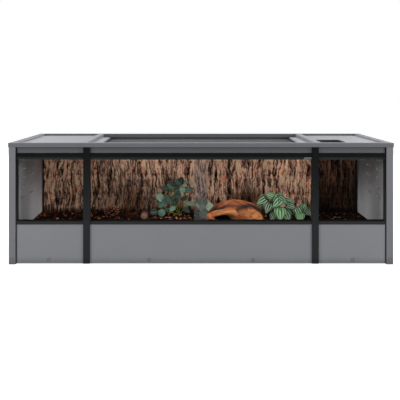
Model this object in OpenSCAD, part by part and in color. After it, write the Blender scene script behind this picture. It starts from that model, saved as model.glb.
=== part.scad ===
// Long, low reptile terrarium: a capped profile frame with board panels, sliding glass doors,
// a lift-out screen top and a planted interior.
// Origin: middle of the footprint at floor level. +X is right seen from the front, +Y is the back.

/* [Overall] */
// Width over the top frame
overall_w = 1830; // [1500:10:2200]
// Depth over the top frame
overall_d = 610; // [560:5:700]
// Height from the feet to the top of the frame
overall_h = 577; // [520:1:660]
// How far the top frame stands out past the posts
top_overhang = 2; // [1:0.5:4]

/* [Frame] */
// Side of the square corner posts and rails
profile_w = 32; // [30:1:40]
// Wall of the hollow profiles
profile_wall = 2.5; // [2:0.1:3]
// Radius on the outer edges of the profiles
profile_edge_r = 1.2; // [0.5:0.1:2]
// Height of the top frame rails
top_rail_h = 20; // [18:1:26]
// Depth of the grooves that hold the boards
groove_depth = 8; // [6:0.5:10]
// Lip that hides the edge of a side board
groove_lip = 1.6; // [1:0.1:3]
// Thickness of the foot pads under the posts
foot_h = 4; // [3:0.5:8]
// Width of the black uprights between the bays
upright_w = 32; // [24:1:40]
// Front to back size of the black uprights
upright_d = 30; // [28:1:32]
// Clear width of the middle bay between the uprights
middle_bay_w = 1055; // [900:5:1200]

/* [Boards] */
// Thickness of the wall and floor boards
board_t = 10; // [6:0.5:12]
// Thickness of the end boards in the top
top_board_t = 8; // [5:0.5:9]
// How far the top end boards lie below the top of the frame
top_board_drop = 9; // [7:0.5:9.5]
// Height of the lower front boards
front_board_h = 185; // [150:1:220]
// How far the lower front boards sit behind the posts
front_board_setback = 6; // [4:0.5:8]
// How far the fascia boards sit behind the posts
fascia_setback = 8; // [6:0.5:10]
// Height of the fascia boards under the top rail
fascia_h = 28; // [22:1:32]
// How far the rear boards sit inside the posts
rear_board_setback = 10; // [6:0.5:11]

/* [Louvres] */
// Length of one vent slot in the side boards
louvre_l = 85; // [60:1:110]
// Height of one vent slot
louvre_h = 7; // [4:0.5:10]
// Height from one vent row to the next
louvre_pitch = 46; // [30:1:60]
// Vent rows in each column
louvre_rows = 5; // [3:1:6]
// Height of the lowest vent row
louvre_z = 296; // [280:1:320]
// How far a louvre hood stands out
louvre_hood = 6; // [4:0.5:8]
// Distance from the front face to the first vent column
louvre_front = 134; // [110:1:150]
// Distance between the two vent columns
louvre_gap = 170; // [140:1:200]

/* [Glazing] */
// Thickness of the glass
glass_t = 5; // [4:0.5:5.5]
// Side clearance of a pane in its groove
glass_play = 0.5; // [0.3:0.1:0.8]
// How far the two doors overlap when shut
door_overlap = 66; // [40:1:100]
// Height of the lower track
lower_track_h = 20; // [18:1:26]
// Height of the upper track
upper_track_h = 32; // [30:1:40]
// Front to back size of both tracks
track_d = 22; // [22:0.5:24]
// Wall between the two door grooves
track_rib = 2; // [1.5:0.1:2.2]
// Thickness of the front leg of the tracks
track_leg = 5; // [4:0.5:5]
// Visible width of the channel beside each end pane
side_channel_w = 10; // [8:0.5:14]
// Length of the door stop on the upper track
stop_l = 35; // [20:1:50]

/* [Screen top] */
// Width of the cross bars of the top
cross_bar_w = 32; // [28:1:40]
// Distance from the middle to the inner face of a cross bar
cross_bar_x = 546; // [545:1:555]
// Width of the ledges beside the screen
ledge_w = 34; // [24:1:44]
// How far the ledges lie below the top of the frame
ledge_drop = 19; // [16:0.5:22]
// How far the screen lies below the top of the frame
screen_drop = 27; // [25:0.5:29]
// Width of the screen frame's bars
screen_bar_w = 20; // [14:1:26]
// Thickness of the screen frame's bars
screen_bar_t = 7; // [5:0.5:9]
// Thickness of the net wires
net_wire = 1.6; // [1:0.1:2]
// Openings of the net from left to right
net_nx = 20; // [10:1:25]
// Openings of the net from front to back
net_ny = 10; // [6:1:12]

/* [Top vent] */
// Width of the vent insert in the right end board
vent_w = 119; // [90:1:140]
// Front to back size of the vent insert
vent_d = 194; // [150:1:220]
// Distance from the cross bar to the vent insert
vent_gap = 20; // [14:1:40]
// Distance from the front face to the vent insert
vent_front = 75; // [60:1:100]
// Slots in the vent insert
vent_slots = 11; // [6:1:12]

/* [Interior] */
// Depth of the substrate over the floor boards
substrate_h = 102; // [70:1:120]
// Thickness of the bark background
bark_t = 72; // [50:1:100]
// Height of the ridges of the bark
bark_ridge = 12; // [4:1:18]
// Distance from the middle to the joints between the bark slabs
bark_joint_x = 640; // [600:5:680]
// Width of the wooden hide
hide_w = 292; // [220:1:320]
// Front to back size of the wooden hide
hide_depth = 152; // [120:1:170]
// Height of the wooden hide
hide_h = 104; // [80:1:130]

/* [Hidden] */

// Fits
fit = 0.3;
overlap_cut = 1;

// Thickness of the track roofs, and the room over a pane that lets it be lifted out
track_roof_t = 12;
lift_play = 9.7;

// Depth of the uprights' grooves and how far an end pane enters them
upright_groove = 6;
pane_bite = 5;

// Plugs, folded angles and the lip under the floor
plug_l = 12;
angle_t = 3;
seat_lip = 12;
floor_lip = 12;
floor_lip_t = 5;

// Net below the screen frame's top, the groove round it and how far it enters the groove
net_drop = 3;
net_groove = 4;
net_bite = 3.5;

// Fixing screws with ringed caps
screw_r = 2.7;
screw_cap_r = 8.5;
screw_cap_h = 1.8;
board_screw_x = [-723, -247.5, 247.5, 723];

// Colours as the photographed object shows them
frame_grey = "#75777b";
board_grey = "#7c7e82";
top_grey = "#b2b3b7";
profile_black = "#26272a";
glass_tint = [0.75, 0.82, 0.82, 0.35];

// Frame planes
half_w = overall_w / 2;
half_d = overall_d / 2;
post_x = half_w - top_overhang;
post_y = half_d - top_overhang;
post_in_x = post_x - profile_w;
post_in_y = post_y - profile_w;
rail_z = overall_h - top_rail_h;
bottom_z = foot_h + profile_w;
groove_w = board_t + 2 * fit;
cap_t = top_overhang;
rail_in_x = half_w - profile_w;
rail_in_y = half_d - profile_w;

// Bays
upright_x = middle_bay_w / 2;
upright_out_x = upright_x + upright_w;
channel_web = side_channel_w / 2;
end_bay_x = post_in_x - channel_web;
upright_mid_x = (upright_x + upright_out_x) / 2;

// Front planes
post_front_y = -post_y;
upright_back_y = post_front_y + upright_d;
board_front_y = post_front_y + front_board_setback;
board_back_y = board_front_y + board_t;
fascia_y = post_front_y + fascia_setback;
track_y = board_front_y - 2;
track_back_y = track_y + track_d;
slot_w = glass_t + 2 * glass_play;
outer_slot_y = track_y + track_leg;
inner_slot_y = outer_slot_y + slot_w + track_rib;

// Front heights
lower_track_z = foot_h + front_board_h;
lower_track_top = lower_track_z + lower_track_h;
upper_track_top = rail_z - fascia_h;
upper_track_z = upper_track_top - upper_track_h;
runner_z = lower_track_z + lower_track_h / 2;
groove_roof_z = upper_track_top - track_roof_t;
pane_z = runner_z + fit;
pane_top = groove_roof_z - lift_play;
pane_h = pane_top - pane_z;

// Doors and panes
door_w = upright_x + door_overlap / 2 - fit;
end_pane_x0 = upright_out_x - pane_bite;
end_pane_x1 = end_bay_x - fit;

// Rear and floor
rear_board_back_y = post_y - rear_board_setback;
rear_board_y = rear_board_back_y - board_t;
floor_top = bottom_z + board_t;

// Side boards
side_board_x = post_in_x + groove_lip + fit;

// Top
top_board_z = overall_h - top_board_drop;
cross_bar_out_x = cross_bar_x + cross_bar_w;
cross_bar_h = profile_w;
ledge_x = cross_bar_x - ledge_w;
ledge_z = overall_h - ledge_drop;
screen_z = overall_h - screen_drop;
screen_seat_z = screen_z - screen_bar_t - fit;
support_y = track_back_y - fit - 5;
screen_x = ledge_x - 0.5;
screen_y = rail_in_y - 0.5;

// Interior
substrate_top = floor_top + substrate_h;
inner_x = post_in_x - fit;
bark_back_y = post_y - upright_d - fit;
bark_y = bark_back_y - bark_t;
bark_top = upper_track_top;
substrate_front_y = upright_back_y + 0.6;
level_y = bark_y - 285;
hide_x = 180;
hide_y = bark_y - 195;
round_plant_x = hide_x - hide_w / 2 - 18;
round_plant_y = bark_y - 140;
leafy_plant_x = round_plant_x - 128;
leafy_plant_y = bark_y - 60;
striped_plant_x = hide_x + hide_w / 2 + 94;
striped_plant_y = bark_y - 190;
screw_z = foot_h + 18;

// Corner points of a rectangle with round corners, counter-clockwise
function rounded_rect(w, d, r) = [
    for (c = [[w - r, d - r, 0], [r, d - r, 90], [r, r, 180], [w - r, r, 270]])
        for (k = [0:3]) [c[0] + r * cos(c[2] + 30 * k), c[1] + r * sin(c[2] + 30 * k)]
];

// Runs a Y-Z section along X
module along_x(x0, x1) {
    translate([x0, 0, 0]) rotate([90, 0, 90]) linear_extrude(x1 - x0) children();
}

// Runs an X-Z section along Y
module along_y(y0, y1) {
    translate([0, y1, 0]) rotate([90, 0, 0]) linear_extrude(y1 - y0) children();
}

// Runs an X-Y section along Z
module along_z(z0, z1) {
    translate([0, 0, z0]) linear_extrude(z1 - z0) children();
}

// Plain board given by its two corners
module board(low, high) {
    translate(low) cube(high - low);
}

// Closed skin over rings of equal length, each counter-clockwise seen from the last ring
module skin(rings) {
    n = len(rings[0]);
    last = len(rings) - 1;
    points = [for (ring = rings) for (p = ring) p];
    walls = [
        for (k = [0:last - 1]) for (i = [0:n - 1])
            let (a = k * n + i, b = k * n + (i + 1) % n)
                each [[a, a + n, b], [b, a + n, b + n]]
    ];
    first_cap = [for (i = [1:n - 2]) [0, i, i + 1]];
    last_cap = [for (i = [1:n - 2]) [last * n, last * n + i + 1, last * n + i]];
    polyhedron(points, concat(first_cap, walls, last_cap));
}

// Puts a right rear piece in any of the four corners
module corner(side, end) {
    mirror([side < 0 ? 1 : 0, 0, 0]) mirror([0, end < 0 ? 1 : 0, 0]) children();
}

module mirrored_x() {
    children();
    mirror([1, 0, 0]) children();
}

// Hollow of a corner post, measured in from the outer faces
module post_hollow(gap) {
    low = profile_wall + gap;
    translate([low, low]) square([
        profile_w - groove_lip - groove_w - profile_wall - low - gap,
        profile_w - profile_wall - gap - low
    ]);
}

// Corner post section: hollow profile, one groove for the side board and one for the rear board
module post_section(rear) {
    difference() {
        polygon(rounded_rect(profile_w, profile_w, profile_edge_r));
        post_hollow(0);
        translate([profile_w - groove_lip - groove_w, profile_w - groove_depth])
            square([groove_w, groove_depth + overlap_cut]);
        if (rear)
            translate([profile_w - groove_depth, rear_board_setback - fit])
                square([groove_depth + overlap_cut, groove_w]);
    }
}

module corner_post(side, end) {
    color(frame_grey) difference() {
        corner(side, end) along_z(foot_h, rail_z)
            translate([post_x, post_y]) rotate(180) post_section(end > 0);
        translate([side * (post_x - profile_w / 2), end * post_y, screw_z + 1])
            rotate([90, 0, 0]) cylinder(r = screw_r + fit, h = 4 * profile_wall, center = true, $fn = 24);
    }
}

// Foot pad with a plug that enters the post
module foot_cap() {
    translate([post_x, post_y, 0]) rotate(180) {
        linear_extrude(foot_h) polygon(rounded_rect(profile_w, profile_w, profile_edge_r));
        translate([0, 0, foot_h]) linear_extrude(plug_l) post_hollow(fit);
    }
}

module foot_caps() {
    color(frame_grey) for (side = [-1, 1]) for (end = [-1, 1]) corner(side, end) foot_cap();
}

// Square tube section with its low corner at the origin
module tube_section(w, h) {
    difference() {
        polygon(rounded_rect(w, h, profile_edge_r));
        translate([profile_wall, profile_wall]) square([w - 2 * profile_wall, h - 2 * profile_wall]);
    }
}

// Rail behind the lower front boards, in one length for each bay
module front_rail(x0, x1) {
    along_x(x0, x1) translate([board_back_y, foot_h]) tube_section(profile_w, profile_w);
}

module bottom_rails_front() {
    color(frame_grey) difference() {
        union() {
            front_rail(-upright_x, upright_x);
            mirrored_x() front_rail(upright_out_x, post_in_x);
        }
        board_screw_holes();
    }
}

module bottom_rail_rear() {
    color(frame_grey) along_x(-post_in_x, post_in_x)
        translate([post_in_y, foot_h]) tube_section(profile_w, profile_w);
}

// End rail with an inner lip that carries the floor
module bottom_end_rails() {
    color(frame_grey) mirrored_x() {
        along_y(-post_in_y, post_in_y) translate([post_in_x, foot_h]) tube_section(profile_w, profile_w);
        along_y(board_back_y + profile_w, post_in_y)
            translate([post_in_x - floor_lip, bottom_z - floor_lip_t]) square([floor_lip, floor_lip_t]);
    }
}

module bottom_cross_rails() {
    color(frame_grey) mirrored_x() along_y(board_back_y + profile_w, post_in_y)
        translate([upright_mid_x - profile_w / 2, foot_h]) tube_section(profile_w, profile_w);
}

// Top rail section from its outer face inwards, with the groove for an end board
module top_rail_section(h, grooved) {
    difference() {
        polygon(rounded_rect(profile_w, h, profile_edge_r));
        translate([profile_wall, profile_wall])
            square([profile_w - groove_depth - 2 * profile_wall, h - 2 * profile_wall]);
        if (grooved)
            translate([profile_w - groove_depth, h - top_board_drop - top_board_t - fit])
                square([groove_depth + overlap_cut, top_board_t + 2 * fit]);
    }
}

// Front or rear top rail, with its grooves in the end bays only
module long_top_rail() {
    mirrored_x() along_x(cross_bar_x, post_x)
        translate([half_d, rail_z]) mirror([1, 0]) top_rail_section(top_rail_h, true);
    along_x(-cross_bar_x, cross_bar_x)
        translate([half_d, rail_z]) mirror([1, 0]) top_rail_section(top_rail_h, false);
}

module top_rail_front() {
    color(frame_grey) mirror([0, 1, 0]) long_top_rail();
}

module top_rail_rear() {
    color(frame_grey) long_top_rail();
}

module top_end_rail(side) {
    color(frame_grey) corner(side, 1) along_y(-rail_in_y, rail_in_y)
        translate([half_w, rail_z]) mirror([1, 0]) top_rail_section(top_rail_h, true);
}

// Plate that closes the end of a long top rail, with its plug
module rail_end_cap() {
    along_x(post_x, post_x + cap_t)
        translate([rail_in_y, rail_z]) polygon(rounded_rect(profile_w, top_rail_h, profile_edge_r));
    along_x(post_x - plug_l, post_x)
        translate([rail_in_y + groove_depth + profile_wall + fit, rail_z + profile_wall + fit])
            square([
                profile_w - groove_depth - 2 * profile_wall - 2 * fit,
                top_rail_h - 2 * profile_wall - 2 * fit
            ]);
}

module rail_end_caps() {
    color(frame_grey) for (side = [-1, 1]) for (end = [-1, 1]) corner(side, end) rail_end_cap();
}

module cross_bar(side) {
    color(frame_grey) corner(side, 1) along_y(-rail_in_y, rail_in_y)
        translate([cross_bar_x, overall_h - cross_bar_h]) difference() {
            polygon(rounded_rect(cross_bar_w, cross_bar_h, profile_edge_r));
            translate([profile_wall, profile_wall])
                square([cross_bar_w - groove_depth - 2 * profile_wall, cross_bar_h - 2 * profile_wall]);
            translate([cross_bar_w - groove_depth, cross_bar_h - top_board_drop - top_board_t - fit])
                square([groove_depth + overlap_cut, top_board_t + 2 * fit]);
        }
}

// Black upright with the groove for the end pane on its outer side
module upright(side) {
    color(profile_black) corner(side, 1) along_z(foot_h, rail_z)
        translate([upright_x, post_front_y]) difference() {
            polygon(rounded_rect(upright_w, upright_d, profile_edge_r));
            translate([profile_wall, profile_wall])
                square([upright_w - 3 * profile_wall - upright_groove, upright_d - 2 * profile_wall]);
            translate([upright_w - upright_groove, outer_slot_y - post_front_y])
                square([upright_groove + overlap_cut, slot_w]);
        }
}

// Rear upright with a groove on each side for the rear boards
module rear_uprights() {
    color(profile_black) mirrored_x() along_z(bottom_z, rail_z)
        translate([upright_x, post_y - upright_d]) difference() {
            polygon(rounded_rect(upright_w, upright_d, profile_edge_r));
            for (x = [-overlap_cut, upright_w - groove_depth])
                translate([x, upright_d - rear_board_setback - board_t - fit])
                    square([groove_depth + overlap_cut, groove_w]);
        }
}

module fascia(x0, x1) {
    color(board_grey) board([x0, fascia_y, upper_track_top], [x1, fascia_y + board_t, rail_z]);
}

// Upper track section: two door grooves, a stepped front leg and a lip behind the fascia
module upper_track_section() {
    translate([track_y, groove_roof_z]) square([track_d, upper_track_top - groove_roof_z]);
    translate([track_y, upper_track_z + 11]) square([track_leg - 2, groove_roof_z - upper_track_z - 11]);
    translate([outer_slot_y - 2, upper_track_z]) square([2, groove_roof_z - upper_track_z]);
    translate([outer_slot_y + slot_w, upper_track_z + 6]) square([track_rib, groove_roof_z - upper_track_z - 6]);
    translate([inner_slot_y + slot_w, upper_track_z])
        square([track_back_y - inner_slot_y - slot_w, groove_roof_z - upper_track_z]);
    translate([fascia_y + board_t + fit, upper_track_top]) square([2, 10]);
}

// Lower track section: two door grooves and a skirt behind the front board
module lower_track_section() {
    translate([track_y, lower_track_z]) square([track_d, runner_z - lower_track_z]);
    translate([track_y, runner_z]) square([track_leg, lower_track_top - 2 - runner_z]);
    translate([outer_slot_y + slot_w, runner_z]) square([track_rib, 6]);
    translate([inner_slot_y + slot_w, runner_z])
        square([track_back_y - inner_slot_y - slot_w, lower_track_top - fit - runner_z]);
    translate([board_back_y + fit, lower_track_z - 8]) square([2, 8]);
}

module upper_track(x0, x1) {
    color(profile_black) along_x(x0, x1) upper_track_section();
}

module lower_track(x0, x1) {
    color(profile_black) along_x(x0, x1) lower_track_section();
}

// Black strip beside a post, widened to a channel round the edge of the end pane
module side_channel(side) {
    color(profile_black) corner(side, 1) {
        board([end_bay_x, track_y, foot_h], [post_in_x, board_back_y, rail_z]);
        difference() {
            board(
                [post_in_x - side_channel_w, track_y, lower_track_top],
                [end_bay_x, outer_slot_y + slot_w + track_leg, upper_track_z]
            );
            board(
                [post_in_x - side_channel_w - overlap_cut, outer_slot_y, lower_track_top - overlap_cut],
                [end_bay_x + overlap_cut, outer_slot_y + slot_w, upper_track_z + overlap_cut]
            );
        }
    }
}

// Glass pane with eased corners between two X positions in the groove that starts at y
module pane(x0, x1, y) {
    color(glass_tint) along_y(y + glass_play, y + glass_play + glass_t)
        translate([x0, pane_z]) polygon(rounded_rect(x1 - x0, pane_h, 2));
}

// Stop that keeps the door in its track
module door_stop() {
    color("#a4a5a8") translate([upright_x - 2 - stop_l, track_y, upper_track_z + 1.5])
        difference() {
            cube([stop_l, track_leg - 2, 9.5]);
            translate([stop_l / 2, overlap_cut, 4.75]) rotate([90, 0, 0])
                cylinder(r = 1.5, h = 2 * overlap_cut, $fn = 24);
        }
}

// Clear holes for the board screws, through board and rail wall
module board_screw_holes() {
    for (x = board_screw_x)
        translate([x, board_back_y + profile_wall, screw_z]) rotate([90, 0, 0])
            cylinder(r = screw_r + fit, h = board_t + 2 * profile_wall, $fn = 24);
}

module front_board(x0, x1) {
    color(board_grey) difference() {
        board([x0, board_front_y, foot_h], [x1, board_back_y, lower_track_z]);
        board_screw_holes();
    }
}

// Louvre hood on the outer face of a side board, open downwards, centred on its slot
module louvre_hood() {
    hood_l = louvre_l + louvre_h + 6;
    difference() {
        along_y(-hood_l / 2, hood_l / 2) polygon([
            [0, louvre_h], [louvre_hood * 0.4, louvre_h * 0.85],
            [louvre_hood, -louvre_h * 0.6], [louvre_hood, -louvre_h], [0, -louvre_h]
        ]);
        along_y(3 - hood_l / 2, hood_l / 2 - 3) polygon([
            [-overlap_cut, louvre_h * 0.7], [louvre_hood * 0.25, louvre_h * 0.6],
            [louvre_hood - 1.6, -louvre_h * 0.7], [louvre_hood - 1.6, -louvre_h - overlap_cut],
            [-overlap_cut, -louvre_h - overlap_cut]
        ]);
    }
}

module louvre_slot() {
    slot_half = (louvre_l - louvre_h) / 2;
    translate([-board_t - overlap_cut, 0, 0]) {
        translate([0, -slot_half, -louvre_h / 2])
            cube([board_t + 2 * overlap_cut, 2 * slot_half, louvre_h]);
        for (y = [-slot_half, slot_half])
            translate([0, y, 0]) rotate([0, 90, 0])
                cylinder(r = louvre_h / 2, h = board_t + 2 * overlap_cut, $fn = 32);
    }
}

// Calls its child at every vent of a side board
module at_louvres() {
    for (column = [0:1]) for (row = [0:louvre_rows - 1])
        translate([
            side_board_x + board_t, louvre_front + column * louvre_gap - half_d, louvre_z + row * louvre_pitch
        ]) children();
}

module side_board(side) {
    edge_y = post_in_y + groove_depth - fit;
    color(board_grey) corner(side, 1) {
        difference() {
            board([side_board_x, -edge_y, bottom_z], [side_board_x + board_t, edge_y, rail_z - fit]);
            at_louvres() louvre_slot();
        }
        at_louvres() louvre_hood();
    }
}

module rear_boards() {
    reach = groove_depth - fit;
    color(board_grey) {
        board(
            [-upright_x - reach, rear_board_y, bottom_z],
            [upright_x + reach, rear_board_back_y, rail_z - fit]
        );
        mirrored_x() board(
            [upright_out_x - reach, rear_board_y, bottom_z],
            [post_in_x + reach, rear_board_back_y, rail_z - fit]
        );
    }
}

// Opening in the right end board, or the insert's body when gap is the fit
module vent_body(z0, z1, gap) {
    x = cross_bar_out_x + vent_gap;
    y = vent_front - half_d;
    rim = 6;
    along_z(z0, z1) translate([x + rim + gap, y + rim + gap])
        polygon(rounded_rect(vent_w - 2 * (rim + gap), vent_d - 2 * (rim + gap), 4));
}

module top_board(side) {
    reach = groove_depth - fit;
    color(top_grey) difference() {
        corner(side, 1) board(
            [cross_bar_out_x - reach, -rail_in_y - reach, top_board_z - top_board_t],
            [rail_in_x + reach, rail_in_y + reach, top_board_z]
        );
        if (side > 0) vent_body(top_board_z - 2 * top_board_t, top_board_z + overlap_cut, 0);
    }
}

// Slotted insert with a thin rim that lies on the end board
module top_vent() {
    x = cross_bar_out_x + vent_gap;
    y = vent_front - half_d;
    border = 14;
    rim_t = 2;
    pitch = (vent_d - 2 * border) / vent_slots;
    slot_d = pitch * 0.56;
    color(profile_black) difference() {
        union() {
            along_z(top_board_z, top_board_z + rim_t) translate([x, y]) polygon(rounded_rect(vent_w, vent_d, 6));
            vent_body(top_board_z - top_board_t, top_board_z, fit);
        }
        along_z(top_board_z - top_board_t - overlap_cut, top_board_z + rim_t + overlap_cut)
            for (i = [0:vent_slots - 1])
                translate([x + border, y + border + pitch * i + (pitch - slot_d) / 2])
                    polygon(rounded_rect(vent_w - 2 * border, slot_d, slot_d * 0.4));
    }
}

// Folded ledge beside the screen: flat top, drop and seat lip
module screen_ledges() {
    color(top_grey) mirrored_x() along_y(-rail_in_y, rail_in_y) {
        translate([ledge_x, ledge_z - angle_t]) square([ledge_w, angle_t]);
        translate([ledge_x, screen_seat_z - angle_t]) square([angle_t, ledge_z - screen_seat_z + angle_t]);
        translate([ledge_x - seat_lip, screen_seat_z - angle_t]) square([seat_lip + angle_t, angle_t]);
    }
}

// Angles under the long rails that carry the screen
module screen_supports() {
    reach = ledge_x - seat_lip - fit;
    color(profile_black) for (end = [-1, 1]) corner(1, end) along_x(-reach, reach) {
        translate([-support_y - angle_t, screen_seat_z]) square([angle_t, rail_z - screen_seat_z]);
        translate([rail_in_y - seat_lip, screen_seat_z - angle_t])
            square([-support_y - rail_in_y + seat_lip, angle_t]);
    }
}

module screen_frame() {
    low_x = screen_bar_w - screen_x;
    low_y = screen_bar_w - screen_y;
    color(profile_black) difference() {
        board(
            [-screen_x, -screen_y, screen_seat_z + fit],
            [screen_x, screen_y, screen_z]
        );
        board(
            [low_x, low_y, screen_seat_z],
            [-low_x, -low_y, screen_z + overlap_cut]
        );
        // Groove round the opening that holds the edge of the net
        board(
            [low_x - net_groove, low_y - net_groove, screen_z - net_drop - fit],
            [net_groove - low_x, net_groove - low_y, screen_z - net_drop + net_wire + fit]
        );
    }
}

// Flat net of crossing wires, with its edge in the frame's groove
module screen_net() {
    x = screen_x - screen_bar_w + net_bite;
    y = screen_y - screen_bar_w + net_bite;
    step_x = (2 * x - net_wire) / net_nx;
    step_y = (2 * y - net_wire) / net_ny;
    color("#6e7074") translate([-x, -y, screen_z - net_drop]) {
        for (i = [0:net_nx]) translate([i * step_x, 0, 0]) cube([net_wire, 2 * y, net_wire]);
        for (i = [0:net_ny]) translate([0, i * step_y, 0]) cube([2 * x, net_wire, net_wire]);
    }
}

// Three floor boards, notched round the uprights
module floor_boards() {
    notch = upright_w / 2 + fit;
    seam_x = upright_mid_x - fit;
    spans = [[-inner_x, -seam_x - 2 * fit], [-seam_x, seam_x], [seam_x + 2 * fit, inner_x]];
    color(board_grey) difference() {
        for (s = spans) board([s[0], board_back_y + fit, bottom_z], [s[1], rear_board_y - fit, floor_top]);
        for (side = [-1, 1]) {
            board(
                [side * upright_mid_x - notch, board_back_y - overlap_cut, bottom_z - overlap_cut],
                [side * upright_mid_x + notch, upright_back_y + fit, floor_top + overlap_cut]
            );
            board(
                [side * upright_mid_x - notch, post_y - upright_d - fit, bottom_z - overlap_cut],
                [side * upright_mid_x + notch, post_y, floor_top + overlap_cut]
            );
        }
    }
}

// Height of the substrate: level at the back, where things stand, and trodden at the front
function soil_z(x, y) =
    y >= level_y ? substrate_top
    : substrate_top - (level_y - y) * (0.06 + 0.035 * sin(x * 0.9) * cos(x * 0.37 + y));

module substrate() {
    columns = 22;
    rear_y = bark_y - fit;
    rows = concat([rear_y], [for (j = [0:5]) level_y + (substrate_front_y - level_y) * j / 5]);
    rings = [
        for (i = [0:columns]) let (x = -inner_x + 2 * inner_x * i / columns)
            concat(
                [[x, rear_y, floor_top]],
                [for (y = rows) [x, y, soil_z(x, y)]],
                [[x, substrate_front_y, floor_top]]
            )
    ];
    color("#3a2418") skin(rings);
}

// Depth of the bark's ridges at a place: crossing waves, flat where the substrate covers it
function bark_relief(x, z) =
    z <= substrate_top + 1 ? 0
    : bark_ridge * (0.5 + 0.3 * sin(x * 11.3 + 40 * sin(z * 0.8)) + 0.2 * sin(x * 4.1 + z * 1.7));

module bark_slab(x0, x1, columns) {
    rows = 5;
    heights = concat(
        [floor_top, substrate_top + 1],
        [for (j = [1:rows]) substrate_top + 1 + (bark_top - substrate_top - 1) * j / rows]
    );
    rings = [
        for (i = [0:columns]) let (x = x0 + (x1 - x0) * i / columns)
            concat(
                [[x, bark_back_y, floor_top], [x, bark_back_y, bark_top]],
                [for (k = [len(heights) - 1:-1:0]) [x, bark_y - bark_relief(x, heights[k]), heights[k]]]
            )
    ];
    color("#6f4c38") skin(rings);
}

// Leaf blade along +X: width follows a sine, edges lift from the midrib and the tip droops
function leaf_ring(u, l, w, droop, fold) =
    let (
        half = max(w / 2 * pow(sin(180 * (0.06 + 0.9 * u)), 0.8), 1),
        x = l * u,
        z = -droop * u * u,
        edge = fold * half,
        t = 0.7
    )
    [[x, half, z + edge + t / 2], [x, 0, z + t], [x, -half, z + edge + t / 2],
        [x, -half, z + edge - t / 2], [x, 0, z - t], [x, half, z + edge - t / 2]];

module leaf(l, w, droop, fold) {
    skin([for (k = [0:3]) leaf_ring(k / 3, l, w, droop, fold)]);
}

// Point on a stem that rises to its tip and leans over
function stem_point(tip, t) = [tip[0] * pow(t, 1.4), tip[1] * pow(t, 1.4), tip[2] * pow(t, 0.85)];

// Stem of short tapering pieces from the root to its tip
module stem(tip, r) {
    steps = 3;
    for (k = [0:steps - 1]) hull() for (e = [0, 1])
        translate(stem_point(tip, (k + e) / steps) + [0, 0, r]) sphere(r = r * (1 - 0.15 * (k + e)), $fn = 5);
}

// Leaves round a stem from one share of its length to the tip, each turned by the golden angle
module stem_leaves(tip, r, count, l, w, droop, fold, start, turn) {
    for (i = [0:count - 1])
        let (t = start + (1 - start) * i / (count - 1), size = 1 - 0.25 * t)
            translate(stem_point(tip, t) + [0, 0, r]) rotate([0, 0, turn + 137.5 * i]) rotate([0, -30 * t, 0])
                leaf(l * size, w * size, droop, fold);
}

module root_crown(r) {
    cylinder(r1 = r, r2 = r * 0.4, h = 6, $fn = 10);
}

// Plant with blue-green oval leaves on upright yellow-green stems
module leafy_plant() {
    tips = [[4, -8, 168], [-72, -20, 112], [-116, -24, 34], [-30, -52, 78], [52, -20, 66]];
    color("#3f6b52") translate([leafy_plant_x, leafy_plant_y, substrate_top]) {
        root_crown(18);
        for (i = [0:len(tips) - 1]) {
            stem(tips[i], 3);
            stem_leaves(tips[i], 3, 5, 56, 34, 8, 0.12, 0.35, 60 * i);
        }
    }
}

// Sprig with round grey-green leaves
module round_leaf_plant() {
    tips = [[-6, -10, 78], [28, -14, 48], [6, -44, 34]];
    color("#7d9484") translate([round_plant_x, round_plant_y, substrate_top]) {
        root_crown(12);
        for (i = [0:len(tips) - 1]) {
            stem(tips[i], 2.2);
            stem_leaves(tips[i], 2.2, 3, 44, 44, 4, 0.08, 0.5, 30 + 80 * i);
        }
    }
}

// Low bushy plant with wide pointed leaves
module striped_plant() {
    tips = [[-90, -6, 84], [-52, -2, 112], [-8, 4, 118], [34, -22, 84], [92, -30, 62], [128, 0, 50], [0, -52, 56]];
    color("#4c8a55") translate([striped_plant_x, striped_plant_y, substrate_top]) {
        root_crown(24);
        for (i = [0:len(tips) - 1]) {
            stem(tips[i], 2.6);
            stem_leaves(tips[i], 2.6, 3, 52, 40, 12, 0.1, 0.45, 35 + 65 * i);
        }
    }
}

// Lumpy half shell that stands on its rim
function dome_ring(k, steps, size) =
    let (rise = 90 * k / steps, spread = cos(rise), z = size[2] * sin(rise))
    [for (a = [0:15:345])
        let (lump = 1 + 0.07 * sin(3 * a + 50) + 0.04 * sin(5 * a + 3 * rise))
            [size[0] * spread * lump * cos(a), size[1] * spread * lump * sin(a), z]];

module dome(size) {
    steps = 7;
    skin([for (k = [0:steps - 1]) dome_ring(k, steps, size)]);
}

// Point of the root that winds over the front of the hide, by share of its length
function root_point(t) =
    let (turn = 196 + 148 * t, rise = 8 + 44 * sin(170 * t))
    [
        hide_w / 2 * cos(turn) * cos(rise),
        hide_depth / 2 * sin(turn) * cos(rise),
        hide_h * sin(rise)
    ];

// Hollow wooden hide: arched shell, open doorway at the front left and a root along its front
module wood_hide() {
    wall = 14;
    root_r = 13;
    root_steps = 9;
    door_r = hide_h * 0.48;
    color("#b06a3a") translate([hide_x, hide_y, substrate_top]) difference() {
        union() {
            difference() {
                dome([hide_w / 2, hide_depth / 2, hide_h]);
                translate([-hide_w * 0.22, 0, 0]) rotate([90, 0, 0])
                    cylinder(r = door_r, h = hide_depth, $fn = 20);
            }
            for (k = [0:root_steps - 1]) hull() for (t = [k, k + 1] / root_steps)
                translate(root_point(t)) sphere(r = root_r * (1 - 0.3 * t), $fn = 7);
        }
        translate([-6, 0, -overlap_cut]) dome([hide_w / 2 - wall * 2, hide_depth / 2 - wall, hide_h - wall]);
        translate([-hide_w, -hide_w, -hide_h]) cube([2 * hide_w, 2 * hide_w, hide_h]);
    }
}

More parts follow.
